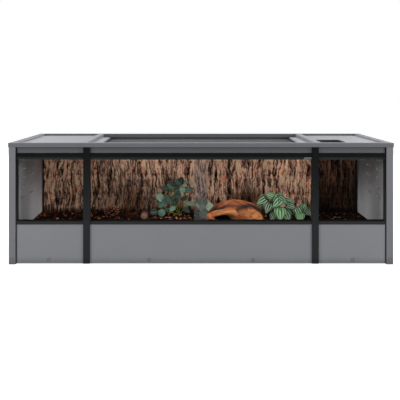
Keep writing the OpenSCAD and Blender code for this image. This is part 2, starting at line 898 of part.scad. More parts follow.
// Cone of overlapping scales that stand in a spiral
module pine_cone(r, h) {
    scales = 30;
    cylinder(r1 = r * 0.5, r2 = r * 0.25, h = h, $fn = 10);
    for (i = [0:scales - 1])
        let (rise = (i + 0.5) / scales, reach = r * (1 - 0.75 * pow(rise, 2)))
            rotate([0, 0, 137.5 * i]) translate([0, 0, 2 + (h - 4) * rise]) hull() {
                translate([r * 0.15, 0, -2]) cylinder(r = r * 0.1, h = 2, $fn = 5);
                translate([reach, 0, r * 0.28 * rise]) cylinder(r = r * 0.18, h = 3, $fn = 5);
            }
}

// Short log, wood chips and a cone that lie on the substrate
module forest_litter() {
    chips = [[-780, 40, 70], [-720, 85, 20], [-665, 30, 140], [-620, 70, 100], [-560, 50, 10], [-540, 120, 60],
        [-410, 75, 30], [-360, 45, 120], [-330, 110, 80], [-225, 85, 15], [560, 120, 50], [700, 60, 110]];
    log_r = 19;
    color("#7a4a32") translate([0, bark_y, substrate_top]) {
        for (c = chips) translate([c[0], -c[1], 0]) rotate([0, 0, c[2]]) linear_extrude(7)
            polygon([[-17, -7], [-4, -11], [15, -8], [19, 3], [6, 10], [-14, 8]]);
        translate([-295, -150, log_r]) rotate([90, 0, 0]) cylinder(r = log_r, h = 55, $fn = 40);
        translate([-482, -88, 0]) render() pine_cone(34, 56);
    }
}

// Screw that points along +Z into the piece, with a groove round the middle of its cap
module screw(grip) {
    face_r = screw_cap_r * 0.55;
    rim_r = screw_cap_r * 0.75;
    rotate_extrude($fn = 32) polygon([
        [0, -screw_cap_h], [face_r, -screw_cap_h], [(face_r + rim_r) / 2, -screw_cap_h / 2],
        [rim_r, -screw_cap_h], [screw_cap_r, -screw_cap_h / 2], [screw_cap_r, 0],
        [screw_r, 0], [screw_r, grip], [0, grip]
    ]);
}

module panel_screws() {
    color("#7e8084") {
        for (x = board_screw_x)
            translate([x, board_front_y, screw_z]) rotate([-90, 0, 0]) screw(board_t + profile_wall);
        for (side = [-1, 1]) for (end = [-1, 1])
            translate([side * (post_x - profile_w / 2), end * post_y, screw_z + 1])
                rotate([end * 90, 0, 0]) screw(profile_wall);
    }
}

corner_post(-1, -1);  // corner_post_front_left
corner_post(1, -1);  // corner_post_front_right
corner_post(-1, 1);  // corner_post_rear_left
corner_post(1, 1);  // corner_post_rear_right
foot_caps();
bottom_rails_front();
bottom_rail_rear();
bottom_end_rails();
bottom_cross_rails();
top_rail_front();
top_rail_rear();
top_end_rail(-1);  // top_rail_left
top_end_rail(1);  // top_rail_right
rail_end_caps();
cross_bar(-1);  // cross_bar_left
cross_bar(1);  // cross_bar_right
upright(-1);  // upright_left
upright(1);  // upright_right
rear_uprights();
fascia(-end_bay_x, -upright_out_x);  // fascia_left
fascia(-upright_x, upright_x);  // fascia_middle
fascia(upright_out_x, end_bay_x);  // fascia_right
upper_track(-end_bay_x, -upright_out_x);  // upper_track_left
upper_track(-upright_x, upright_x);  // upper_track_middle
upper_track(upright_out_x, end_bay_x);  // upper_track_right
lower_track(-end_bay_x, -upright_out_x);  // lower_track_left
lower_track(-upright_x, upright_x);  // lower_track_middle
lower_track(upright_out_x, end_bay_x);  // lower_track_right
side_channel(-1);  // side_channel_left
side_channel(1);  // side_channel_right
pane(-end_pane_x1, -end_pane_x0, outer_slot_y);  // end_glass_left
pane(end_pane_x0, end_pane_x1, outer_slot_y);  // end_glass_right
pane(-upright_x + fit, door_w - upright_x + fit, inner_slot_y);  // glass_door_left
pane(upright_x - door_w - fit, upright_x - fit, outer_slot_y);  // glass_door_right
door_stop();
front_board(-end_bay_x, -upright_out_x);  // front_board_left
front_board(-upright_x, upright_x);  // front_board_middle
front_board(upright_out_x, end_bay_x);  // front_board_right
side_board(-1);  // side_board_left
side_board(1);  // side_board_right
rear_boards();
top_board(-1);  // top_board_left
top_board(1);  // top_board_right
top_vent();
screen_ledges();
screen_supports();
screen_frame();
screen_net();
floor_boards();
substrate();
bark_slab(-inner_x, -bark_joint_x - fit, 14);  // bark_left
bark_slab(-bark_joint_x, bark_joint_x, 76);  // bark_middle
bark_slab(bark_joint_x + fit, inner_x, 14);  // bark_right
leafy_plant();
round_leaf_plant();
striped_plant();
wood_hide();
forest_litter();
panel_screws();
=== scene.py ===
import bpy
import bmesh
import math
import numpy as np
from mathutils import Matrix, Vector


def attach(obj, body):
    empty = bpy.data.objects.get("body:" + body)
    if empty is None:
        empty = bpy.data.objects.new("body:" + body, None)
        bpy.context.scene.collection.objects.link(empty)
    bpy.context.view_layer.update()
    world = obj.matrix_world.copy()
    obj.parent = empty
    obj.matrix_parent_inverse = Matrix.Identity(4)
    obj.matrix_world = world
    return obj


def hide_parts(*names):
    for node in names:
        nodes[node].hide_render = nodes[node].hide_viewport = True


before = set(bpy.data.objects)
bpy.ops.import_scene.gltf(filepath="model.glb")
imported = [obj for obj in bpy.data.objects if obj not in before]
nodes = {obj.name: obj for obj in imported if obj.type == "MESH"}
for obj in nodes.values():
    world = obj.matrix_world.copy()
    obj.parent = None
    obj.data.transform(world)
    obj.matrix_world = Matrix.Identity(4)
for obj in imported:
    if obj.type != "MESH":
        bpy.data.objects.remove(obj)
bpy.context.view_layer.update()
mm = 0.001
print("frame loaded:", len(nodes), "nodes")

# the camera stands where the photo was taken from and looks level; the lens shift frames the cabinet
view = {"place": (-0.035, -3.161, 0.831), "lens": 54.2, "sensor": 36, "shiftX": 0.016, "shiftY": -0.2764}


def addObject(name, data):
    made = bpy.data.objects.new(name, data)
    bpy.context.scene.collection.objects.link(made)
    return made


def makeCamera():
    lens = bpy.data.cameras.new("viewer")
    lens.lens = view["lens"]
    lens.sensor_width = view["sensor"]
    lens.shift_x = view["shiftX"]
    lens.shift_y = view["shiftY"]
    viewer = addObject("viewer", lens)
    viewer.location = view["place"]
    viewer.rotation_euler = (math.radians(90), 0, 0)
    bpy.context.scene.camera = viewer


makeCamera()
bpy.context.scene.view_settings.view_transform = "Standard"
print("camera placed")


def tint(*levels):  # a colour as the eye reads it, 0 to 255 a channel, in linear light by the sRGB curve
    shares = [level / 255 for level in levels]
    return tuple(s / 12.92 if s <= 0.04045 else ((s + 0.055) / 1.055) ** 2.4 for s in shares) + (1.0,)


def grey(level):
    return tint(level, level, level)


class Signal:  # a socket that carries a number; sums on it add their Math nodes
    def __init__(self, finish, socket):
        self.finish = finish
        self.socket = socket

    def apply(self, operation, *others):
        inputs = dict(enumerate((self,) + others))
        return self.finish.node("ShaderNodeMath", {"operation": operation}, inputs)

    def __add__(self, other):
        return self.apply("ADD", other)

    def __sub__(self, other):
        return self.apply("SUBTRACT", other)

    def __rsub__(self, other):
        return self.finish.node("ShaderNodeMath", {"operation": "SUBTRACT"}, {0: other, 1: self})

    def __mul__(self, other):
        return self.apply("MULTIPLY", other)

    __radd__ = __add__
    __rmul__ = __mul__

    def band(self, low, high):  # 0 below low, 1 above high, smooth between
        return self.finish.node("ShaderNodeMapRange", {"interpolation_type": "SMOOTHSTEP"},
                                {0: self, 1: low, 2: high, 3: 0.0, 4: 1.0})


class Finish:  # the nodes of a material or world: node() makes any node, its settings first, then its sockets
    def __init__(self, name, owner=None):
        self.owner = owner or bpy.data.materials.new(name)
        self.owner.use_nodes = True
        self.tree = self.owner.node_tree
        self.tree.nodes.clear()
        self.place = self.node("ShaderNodeTexCoord", out="Object")

    def node(self, kind, settings=None, sockets=None, out=0):
        made = self.tree.nodes.new(kind)
        for key, value in (settings or {}).items():
            if key == "stops":
                while len(made.color_ramp.elements) < len(value):
                    made.color_ramp.elements.new(0.5)
                for element, (at, colour) in zip(made.color_ramp.elements, value):
                    element.position = at
                    element.color = colour
            else:
                setattr(made, key, value)
        for key, value in (sockets or {}).items():
            if isinstance(value, Signal):
                self.tree.links.new(value.socket, made.inputs[key])
            else:
                made.inputs[key].default_value = value
        return Signal(self, made.outputs[out]) if made.outputs else None

    def noise(self, pitch, detail=3.0, roughness=0.5, twist=0.0):  # pitch: grain size in mm, one or X, Y, Z
        scale = tuple(1 / (size * mm) for size in np.broadcast_to(pitch, 3).tolist())
        place = self.node("ShaderNodeMapping", {}, {"Vector": self.place, "Scale": scale})
        return self.node("ShaderNodeTexNoise", {}, {
            "Vector": place, "Scale": 1.0, "Detail": detail, "Roughness": roughness, "Distortion": twist})

    def ramp(self, share, stops):
        return self.node("ShaderNodeValToRGB", {"stops": stops}, {0: share})

    def mix(self, share, first, second, blend="MIX"):
        settings = {"data_type": "RGBA", "blend_type": blend}
        return self.node("ShaderNodeMix", settings, {0: share, 6: first, 7: second}, out=2)

    def shade(self, colour, share):  # a colour scaled by a number
        colour = colour if isinstance(colour, Signal) else colour[:3]
        return self.node("ShaderNodeVectorMath", {"operation": "SCALE"}, {0: colour, "Scale": share})

    def mark(self, name):  # a number stored on the mesh's points
        return self.node("ShaderNodeAttribute", {"attribute_name": name}, out="Fac")

    def axis(self, name):
        return self.node("ShaderNodeSeparateXYZ", {}, {0: self.place}, out=name)

    def close(self, colour, roughness, height=None, depth=0.001, **fixed):
        sockets = {"Base Color": colour, "Roughness": roughness}
        sockets.update({key.replace("_", " "): value for key, value in fixed.items()})
        if height is not None:
            sockets["Normal"] = self.node("ShaderNodeBump", {}, {"Height": height, "Distance": depth})
        shader = self.node("ShaderNodeBsdfPrincipled", {}, sockets)
        self.node("ShaderNodeOutputMaterial", {}, {"Surface": shader})
        return self.owner


coat = {  # colour, grain of the orange peel in mm, roughness, gloss
    "post": ((109, 110, 114), 1.6, 0.5, 0.25),
    "rail": ((103, 104, 108), 1.6, 0.6, 0.03),
    # fascia: darker than the rail, a painted shade of the recess under the top rail
    "fascia": ((84, 85, 88), 1.6, 0.5, 0.2),
    "board": ((122, 123, 127), 2.4, 0.5, 0.25),
    "wall": ((124, 125, 128), 2.4, 0.5, 0.25),
    "side": ((124, 125, 128), 2.4, 0.5, 0.25),
    # top: paler than the front boards' grey, painted light on the upward faces
    "top": ((155, 156, 160), 2.4, 0.55, 0.1),
    "bar": ((129, 130, 134), 1.6, 0.5, 0.2),
    "ledge": ((180, 181, 185), 2.4, 0.55, 0.1),
    "black": ((36, 37, 38), 1.2, 0.45, 0.03),
    "track": ((36, 36, 36), 1.2, 0.45, 0.03),
    "vent": ((17, 17, 18), 1.0, 0.75, 0.03),
    "screen": ((46, 47, 50), 1.4, 0.6, 0.02),
    "stop": ((96, 97, 98), 1.0, 0.5, 0.3),
    "screw": ((122, 123, 127), 0.8, 0.4, 0.3),
}
zone = {  # where a shade of the paint fades in, from and to, in metres along one axis
    "footShade": (0.004, 0.046), "topFace": (0.576, 0.5768), "topFrame": (0.5, 0.51), "endRail": (0.884, 0.886),
    "behindFront": (-0.28, -0.27), "recess": (0.2, 0.25), "rearRail": (0.27, 0.2725),
    "underRail": (0.529, 0.545), "upright": (0.1, 0.56), "upperLip": (0.5075, 0.509),
    "lowerLip": (0.2038, 0.2046), "overLower": (0.3, 0.31),
}
insideLight = {  # painted light of the cabin's inner faces: paler colours and a glow on the louvre cuts; bands in metres
    "level": (158, 159, 162), "foot": (188, 189, 192), "footZ": (0.18, 0.40), "edge": (204, 204, 205),
    "paintedGlow": 0.037, "paintedGlowZ": (0.2, 0.4), "face": (0.8831, 0.8834), "cutFrom": (0.8832, 0.8836),
    "cutTo": (0.8922, 0.8926), "front": 0.76, "deep": (-0.25, 0.16), "rear": (0.12, 0.2),
}
cap = {  # metres; the boards' caps stand apartX to either side of boardX
    "boardX": 0.48525, "apartX": 0.23775, "postX": 0.897, "z": 0.0222, "ring": (0.0046, 0.0054), "level": 86,
}


def paintSideLight(finish, colour, height):
    # painted light: inner faces paler than outside, paler still to the foot and rear; louvre cut edges pale
    # with a faint glow
    across, depth = finish.axis("X").apply("ABSOLUTE"), finish.axis("Y")
    inside = finish.mix(height.band(*insideLight["footZ"]), tint(*insideLight["foot"]), tint(*insideLight["level"]))
    inside = finish.shade(inside, insideLight["front"] + depth.band(*insideLight["deep"]) * 0.6
                          + depth.band(*insideLight["rear"]) * 0.35)
    cut = across.band(*insideLight["cutFrom"]) * (1 - across.band(*insideLight["cutTo"]))
    colour = finish.mix(1 - across.band(*insideLight["face"]), colour, inside)
    colour = finish.mix(cut, colour, tint(*insideLight["edge"]))
    # painted glow: the cut edges give off light though they are no lamp
    paintedGlow = finish.shade((1, 1, 1), cut * height.band(*insideLight["paintedGlowZ"]) * insideLight["paintedGlow"])
    return colour, {"Emission_Color": paintedGlow, "Emission_Strength": 1.0}


def shadeFascia(finish, colour, height):  # the shadow line under the top rail
    return finish.shade(colour, 1.26 - height.band(*zone["underRail"]) * 0.38)


def shadeRail(finish, colour, height):
    # top and inner faces catch the light; the rear rail stands in the shade of the recess
    depth = finish.axis("Y")
    inner = (1 - finish.axis("X").apply("ABSOLUTE").band(*zone["endRail"])) * depth.band(*zone["behindFront"])
    lit = height.band(*zone["topFace"]) * 0.75 + inner * height.band(*zone["topFrame"])
    lit = lit * (1 - depth.band(*zone["rearRail"]))
    return finish.shade(colour, 1 - depth.band(*zone["recess"]) * 0.2 + lit)


def shadeBar(finish, colour, height):  # the top face catches the light
    return finish.shade(colour, 1 + height.band(*zone["topFace"]) * 0.15)


def shadeBlack(finish, colour, height):  # painted shade: the paint darkens from the floor up to the top rail, as under the overhang
    return finish.shade(colour, 1.25 - height.band(*zone["upright"]) * 0.85)


def shadeTrack(finish, colour, height):  # painted shade: the lips next to the panes are darker than the rest
    lower = height.band(*zone["lowerLip"]) * (1 - height.band(*zone["overLower"]))
    return finish.shade(colour, 1.5 - (height.band(*zone["upperLip"]) + lower) * 1.1)


def ringScrew(finish, colour, height):  # a dark ring round the middle of each cap
    across, rise = finish.axis("X").apply("ABSOLUTE"), height - cap["z"]
    near = ((across - cap["boardX"]).apply("ABSOLUTE") - cap["apartX"]).apply("ABSOLUTE")
    near = near.apply("MINIMUM", (across - cap["postX"]).apply("ABSOLUTE"))
    reach = (near * near + rise * rise).apply("SQRT")
    return finish.mix(reach.band(*cap["ring"]), colour, grey(cap["level"]))


shadeOf = {"fascia": shadeFascia, "rail": shadeRail, "bar": shadeBar, "black": shadeBlack,
           "track": shadeTrack, "screw": ringScrew}


def powderCoat(name):  # even paint with a faint mottle and a fine orange peel, darker towards the foot by a painted shade
    level, grain, roughness, gloss = coat[name]
    finish = Finish(name + "Coat")
    mottle = finish.noise(70, detail=4)
    speckle = finish.noise(1.1, detail=1)
    height = finish.axis("Z")
    # painted shade: the paint darkens towards the floor
    footShade = 1 - (height + mottle * 0.008).band(*zone["footShade"])
    colour = finish.shade(tint(*level), mottle * 0.05 + speckle * 0.06 + 0.945 - footShade * 0.27)
    extra = {}
    if name == "side":
        colour, extra = paintSideLight(finish, colour, height)
    elif name in shadeOf:
        colour = shadeOf[name](finish, colour, height)
    peel = finish.noise(grain, detail=2)
    rubbed = finish.noise((40, 40, 160), detail=5)
    return finish.close(colour, rubbed * 0.14 + (roughness - 0.07), peel, 0.00006, Specular_IOR_Level=gloss,
                        **extra)


pane = {"level": 44, "alpha": 0.02, "smear": 0.02, "roughness": 0.06, "gloss": 0.02,
        "edge": (-0.0335, -0.0325), "haze": 0.11, "hazeLevel": 120}


def glassPane(name, hazy):  # clear glass; where the two doors overlap a paler, milkier strip is painted on the left door, a painted reflection
    finish = Finish(name)
    alpha = finish.noise((90, 90, 240), detail=3) * pane["smear"] + pane["alpha"]
    colour = grey(pane["level"])
    if hazy:
        overlap = finish.axis("X").band(*pane["edge"])
        alpha = alpha + overlap * pane["haze"]
        colour = finish.mix(overlap, colour, grey(pane["hazeLevel"]))
    return finish.close(colour, pane["roughness"], Alpha=alpha, Specular_IOR_Level=pane["gloss"])


dressed = {
    "post": ["corner_post_front_left", "corner_post_front_right", "corner_post_rear_left",
             "corner_post_rear_right", "rail_end_caps", "foot_caps"],
    "rail": ["top_rail_front", "top_rail_rear", "top_rail_left", "top_rail_right", "bottom_rails_front",
             "bottom_rail_rear", "bottom_end_rails", "bottom_cross_rails"],
    # the screen supports take the fascia's darker paint, a painted shadow under the rear rail
    "fascia": ["fascia_left", "fascia_middle", "fascia_right", "screen_supports"],
    "board": ["front_board_left", "front_board_middle", "front_board_right"],
    "wall": ["rear_boards", "floor_boards"],
    "side": ["side_board_left", "side_board_right"],
    "top": ["top_board_left", "top_board_right"],
    "bar": ["cross_bar_left", "cross_bar_right"],
    "ledge": ["screen_ledges"],
    "black": ["upright_left", "upright_right", "rear_uprights", "side_channel_left", "side_channel_right"],
    "vent": ["top_vent"],
    "track": ["upper_track_left", "upper_track_middle", "upper_track_right", "lower_track_left",
              "lower_track_middle", "lower_track_right"],
    "screen": ["screen_frame"],
    "stop": ["door_stop"],
    "screw": ["panel_screws"],
}


def dress(material, names):
    for name in names:
        for slot in nodes[name].material_slots:
            slot.material = material


for name, names in dressed.items():
    dress(powderCoat(name), names)
dress(glassPane("clearPane", False), ["end_glass_left", "end_glass_right", "glass_door_right"])
dress(glassPane("doorPane", True), ["glass_door_left"])
print("frame, boards and glass finished")


def drift(u, v, seed):
    # smooth noise over two arrays: a seeded table, blended between its four nearest entries by an s-curve
    size = 128
    table = np.random.default_rng(seed).random((size, size))
    column, row = np.floor(u).astype(int), np.floor(v).astype(int)
    a, b = u - column, v - row
    a, b = a * a * (3 - 2 * a), b * b * (3 - 2 * b)
    low, high = (table[line, column % size] * (1 - a) + table[line, (column + 1) % size] * a
                 for line in (row % size, (row + 1) % size))
    return low * (1 - b) + high * b


def ridge(u, v, seed):  # noise folded about its middle, so it makes crests
    return 1 - np.abs(2 * drift(u, v, seed) - 1)


def gridFaces(rows, columns, wrap=False):  # quads of a grid numbered row by row; wrap joins its sides
    r, c = np.meshgrid(np.arange(rows - 1), np.arange(columns if wrap else columns - 1), indexing="ij")
    a, b = r * columns + c, r * columns + (c + 1) % columns
    return np.stack([a, b, b + columns, a + columns], -1).reshape(-1, 4).tolist()


def loft(rings, **marks):
    # closed skin through rings of points, with a flat cap at each end; a mark is a number or an array of the
    # rings' shape
    rows, columns = rings.shape[:2]
    last = (rows - 1) * columns
    caps = [list(range(columns)), list(range(last, last + columns))]
    spread = {key: np.broadcast_to(value, (rows, columns)).ravel() for key, value in marks.items()}
    return rings.reshape(-1, 3), gridFaces(rows, columns, True) + caps, spread


def backed(front, axis, level, **marks):
    # a grid of points closed by a rim and a flat back at a level of one axis; marks are arrays over the grid
    rows, columns = front.shape[:2]
    index = np.arange(rows * columns).reshape(rows, columns)
    rim = np.concatenate([index[0, :-1], index[:-1, -1], index[-1, :0:-1], index[:0:-1, 0]])
    points = front.reshape(-1, 3)
    behind = points[rim].copy()
    behind[:, axis] = level
    twin = np.arange(len(rim)) + len(points)
    skirt = np.stack([rim, np.roll(rim, -1), np.roll(twin, -1), twin], -1).tolist()
    spread = {key: np.concatenate([value.ravel(), value.ravel()[rim]]) for key, value in marks.items()}
    return np.concatenate([points, behind]), gridFaces(rows, columns) + skirt + [twin.tolist()], spread


def circle(count):  # evenly spread angles of one turn
    return np.linspace(0, 2 * math.pi, count, endpoint=False)


def tube(path, radius, sides):  # rings square to a path, all turned from the same aside direction
    path = np.asarray(path, float)
    radius = np.broadcast_to(radius, len(path))
    along = np.gradient(path, axis=0)
    along /= np.linalg.norm(along, axis=1)[:, None]
    aside = (0.31, 0.93, 0.17)  # no path here runs this way
    side = np.cross(along, aside)
    side /= np.linalg.norm(side, axis=1)[:, None]
    rise = np.cross(along, side)
    turn = circle(sides)
    ring = np.cos(turn)[None, :, None] * side[:, None] + np.sin(turn)[None, :, None] * rise[:, None]
    return path[:, None] + ring * radius[:, None, None]


def bend(start, end, lift, count=7):  # points from start to end, with the middle raised by lift
    t = np.linspace(0, 1, count)[:, None]
    up = np.array([0, 0, 1])
    return np.asarray(start) * (1 - t) + np.asarray(end) * t + up * (4 * lift * t * (1 - t))


def gather(shells):  # many shells as one: points, faces and marks, each shell's faces counted on
    points, faces, marks, start = [], [], {}, 0
    for shellPoints, shellFaces, shellMarks in shells:
        points.append(shellPoints)
        faces += [[start + k for k in face] for face in shellFaces]
        for key, values in shellMarks.items():
            marks.setdefault(key, []).append(values)
        start += len(shellPoints)
    return np.concatenate(points), faces, {key: np.concatenate(values) for key, values in marks.items()}


def makePiece(name, shell, material, stoodFor, body="enclosure", smooth=True):
    points, faces, marks = shell
    mesh = bpy.data.meshes.new(name)
    mesh.from_pydata((np.asarray(points) * mm).tolist(), [], faces)
    for key, values in marks.items():
        values = values.astype(np.float32)
        if key == "blade":  # along and across a leaf, as the mesh's own UV map
            corners = np.empty(len(mesh.loops), np.int32)
            mesh.loops.foreach_get("vertex_index", corners)
            mesh.uv_layers.new(name=key).data.foreach_set("uv", values[corners].ravel())
        else:
            mesh.attributes.new(key, "FLOAT", "POINT").data.foreach_set("value", values)
    work = bmesh.new()
    work.from_mesh(mesh)
    bmesh.ops.recalc_face_normals(work, faces=work.faces)
    work.to_mesh(mesh)
    work.free()
    mesh.polygons.foreach_set("use_smooth", np.full(len(mesh.polygons), smooth))
    mesh.materials.append(material)
    piece = addObject(name, mesh)
    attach(piece, body)
    for node in stoodFor:
        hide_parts(node)


bark = {  # lengths in mm
    "pitchX": 2.0, "pitchZ": 4.0, "deep": 15.0, "mean": 0.28, "face": 203.0, "back": 272.7, "low": 46.0,
    "high": 529.0, "joint": 640.0, "end": 880.6, "gap": 0.4, "edge": 868.0, "edgeWide": 8.0, "fall": 20.0,
    "sway": [(18, 90, 120, 11), (9, 34, 44, 12), (5, 14, 19, 20)],  # how far, over how much X and Z, seed
    "share": {"plate": 0.16, "own": 0.15, "splint": 0.18, "part": 0.14, "rift": 0.23, "tear": 0.17,
              "crest": 0.19, "grain": 0.11},
    "sink": 0.14,
    "dark": tint(23, 15, 13), "mid": tint(140, 104, 87), "pale": tint(244, 200, 168),
    # the last colour here is a brown tint multiplied into the bark where its painted shade is deep
    "rust": tint(228, 136, 84), "shadeTint": (1.1, 0.82, 0.66, 1),
    # painted shade at the foot: where it begins, over how much Z it fades, how much light is left at the
    # bottom
    "shadeFootZ": 148, "shadeFootHigh": 22, "shadeFootLight": 0.16, "fadeZ": 215, "fadeHigh": 190,
    # shade of what stands in front: middle and half width in X, top, how high it fades
    "shadeDeep": 0.8,
    "shade": [(250, 105, 300, 55), (130, 130, 240, 60), (-150, 125, 205, 50), (450, 150, 190, 60)],
    # light at each X, high up and low down
    "lightX": [-880, -540, -375, -100, 155, 323, 500, 639, 641, 880],
    "lightHigh": [2.4, 1.65, 1.7, 1.9, 1.35, 1.6, 2.5, 2.5, 0.36, 0.36],
    "lightLow": [1.25, 0.8, 0.28, 1.0, 1.45, 1.05, 1.95, 1.95, 0.07, 0.07],
}


def splints(u, v, seed):
    # long flakes side by side, one unit wide and long, each column broken at its own places: how far a
    # place is from its flake's rim, 0 to 1, and the flake's own number
    table = np.random.default_rng(seed).random((2, 256, 64))
    column = np.floor(u).astype(int)
    run = v + 9 * table[0, column % 256, 0]
    row = np.floor(run).astype(int)
    across, end = 2 * (u - column) - 1, 2 * (run - row) - 1
    crest = np.clip(1 - across ** 2, 0, 1) * np.clip((1 - end ** 2) * 4, 0, 1)
    return crest ** 0.6, table[1, column % 256, row % 64]


def cracks(u, v, seed, keen):  # 0 on thin wandering lines where smooth noise crosses its middle, 1 between
    return np.clip(np.abs(2 * drift(u, v, seed) - 1) * keen, 0, 1) ** 0.7


def barkRelief(x, z):
    # height 0 to 1, the weighted sum of wavy plates and finer splints side by side, each with a height of
    # its own, long rifts, short tears, a few high crests and a fine grain; every layer is bent by one sway
    sway = sum(far * (drift(x / wide, z / high, seed) - 0.5) for far, wide, high, seed in bark["sway"])
    layer = {}
    layer["plate"], own = splints((x + sway) / 10 + 82, z / 70 + 0.5 * drift(x / 40, z / 70, 19), 17)
    layer["own"] = own
    layer["splint"], layer["part"] = splints((x + 1.4 * sway) / 6 + 140, z / 32, 14)
    layer["rift"] = cracks((x + sway) / 14.5, z / 150, 27, 3.2)
    layer["tear"] = cracks((x + sway) / 7, z / 34, 13, 2.4)
    layer["crest"] = ridge((x + sway * 1.2) / 9, z / 52, 15) ** 4
    layer["grain"] = drift(x / 4, z / 11, 16)
    return sum(share * layer[key] for key, share in bark["share"].items()) - bark["sink"], own


def barkLight(x, z):
    # how much painted light the bark gets: one level high up and one low down for each X, faded into each
    # other along Z, dimmed by painted shade at the foot and in the shade of whatever stands in front
    share = np.clip((z - bark["fadeZ"]) / bark["fadeHigh"], 0, 1) ** 1.5
    high, low = (np.interp(x, bark["lightX"], bark[key]) for key in ("lightHigh", "lightLow"))
    footLit = np.clip((z - bark["shadeFootZ"] - 14 * drift(x / 28, z / 50, 26)) / bark["shadeFootHigh"], 0, 1)
    light = (low + (high - low) * share) * (bark["shadeFootLight"] + (1 - bark["shadeFootLight"]) * footLit)
    for middle, half, top, fade in bark["shade"]:
        across = np.exp(-np.abs((x - middle) / half) ** 4)
        light = light * (1 - bark["shadeDeep"] * across * np.clip((top - z) / fade, 0, 1))
    return light


def barkSlab(low, high):
    # front face on a grid of X and Z, each point standing proud by the relief and falling back beside the
    # end walls, where a painted shadow darkens it
    x = np.linspace(low, high, int((high - low) / bark["pitchX"]) + 1)
    z = np.linspace(bark["low"], bark["high"], int((bark["high"] - bark["low"]) / bark["pitchZ"]) + 1)
    x, z = np.meshgrid(x, z)
    height, own = barkRelief(x, z)
    fall = np.clip((np.abs(x) - bark["edge"]) / bark["edgeWide"], 0, 1)
    y = bark["face"] - bark["deep"] * (height - bark["mean"]) * (1 - fall) + bark["fall"] * fall
    swell = drift(x / 34 + 3, z / 150, 24)
    # the tone mark is painted light and shade times the bark's own variation
    tone = barkLight(x, z) * (0.68 + 0.34 * own + 0.46 * swell) * (1 - 0.9 * fall)
    warm = 0.22 * own + 0.78 * drift(x / 17, z / 30, 18)
    return backed(np.stack([x, y, z], -1), 1, bark["back"], relief=height, tone=tone, warm=warm)


def barkFinish():  # dark in the rifts and pale on the crests, rusty in places; tone paints light and shade, browner in deep shade
    finish = Finish("corkBark")
    relief, tone = finish.mark("relief"), finish.mark("tone")
    fibre = finish.noise((3.4, 6, 22), detail=4, roughness=0.62, twist=0.5)
    fleck = finish.noise((11, 11, 15), detail=2)
    height = relief * 0.95 + fibre * 0.34 + fleck * 0.12
    colour = finish.ramp(height, [(0.64, bark["dark"]), (0.81, bark["mid"]), (1.0, bark["pale"])])
    orange = finish.mark("warm").band(0.75, 0.92) * relief.band(0.4, 0.7)
    colour = finish.mix(orange * 0.8, colour, finish.shade(bark["rust"], relief + 0.2))
    colour = finish.mix(1 - tone.band(0.2, 0.7), finish.shade(colour, tone), bark["shadeTint"], "MULTIPLY")
    return finish.close(colour, 0.86, fibre, 0.004, Specular_IOR_Level=0.08)


def makeBark():
    material = barkFinish()
    joint, end, gap = bark["joint"], bark["end"], bark["gap"]
    spans = {"bark_left": (-end, -joint - gap), "bark_middle": (-joint + gap, joint - gap),
             "bark_right": (joint + gap, end)}
    for node, (low, high) in spans.items():
        makePiece(node + "_relief", barkSlab(low, high), material, [node])


makeBark()
print("bark grown")

soil = {  # lengths in mm
    "half": 880.5, "front": -272.4, "rear": 200.5, "base": 46.0, "top": 148.0, "level": -84.3, "pitch": 5.0,
    "slope": 0.06, "swing": 0.035, "rough": 3.5, "mean": 0.75,
    "crumbs": [(0.55, 34, 21), (0.30, 9, 22), (0.15, 4, 23)],  # share, size, seed
    "dark": tint(10, 7, 6), "mid": tint(44, 28, 22), "pale": tint(146, 86, 62),
    "mulch": {"count": 900, "seed": 31, "size": (5, 13), "spread": (-868, 868, -262, 186)},
    "mulchLook": [(0.30, tint(14, 10, 9)), (0.60, tint(66, 43, 34)), (0.86, tint(212, 136, 102))],
}


def soilLevel(x, y):
    # flat at the back; from the level line to the front it falls by a slope that swings with a sine of X
    # times a cosine of X and Y, as the solid does
    slope = soil["slope"] + soil["swing"] * np.sin(np.radians(x * 0.9)) * np.cos(np.radians(x * 0.37 + y))
    return soil["top"] - np.clip(soil["level"] - y, 0, None) * slope


def crumbs(x, y):  # small heaps and grains, 0 to 1: smooth noise of three sizes
    return sum(share * drift(x / size, y / size, seed) for share, size, seed in soil["crumbs"])


def soilBed():  # a grid of X and Y at the soil's level plus the crumbs, closed down to the base
    x = np.linspace(-soil["half"], soil["half"], int(2 * soil["half"] / soil["pitch"]))
    y = np.linspace(soil["front"], soil["rear"], int((soil["rear"] - soil["front"]) / soil["pitch"]))
    x, y = np.meshgrid(x, y)
    loose = crumbs(x, y)
    z = soilLevel(x, y) + soil["rough"] * (loose - soil["mean"])
    return backed(np.stack([x, y, z], -1), 2, soil["base"], relief=loose)


def soilFinish():  # dark hollows, paler heaps
    finish = Finish("coirSoil")
    fine = finish.noise(3.5, detail=5, roughness=0.7)
    clump = finish.noise(16, detail=2)
    height = finish.mark("relief") * 0.3 + fine * 0.5 + clump * 0.2
    colour = finish.ramp(height, [(0.36, soil["dark"]), (0.54, soil["mid"]), (0.7, soil["pale"])])
    return finish.close(colour, 0.9, fine, 0.002, Specular_IOR_Level=0.0)


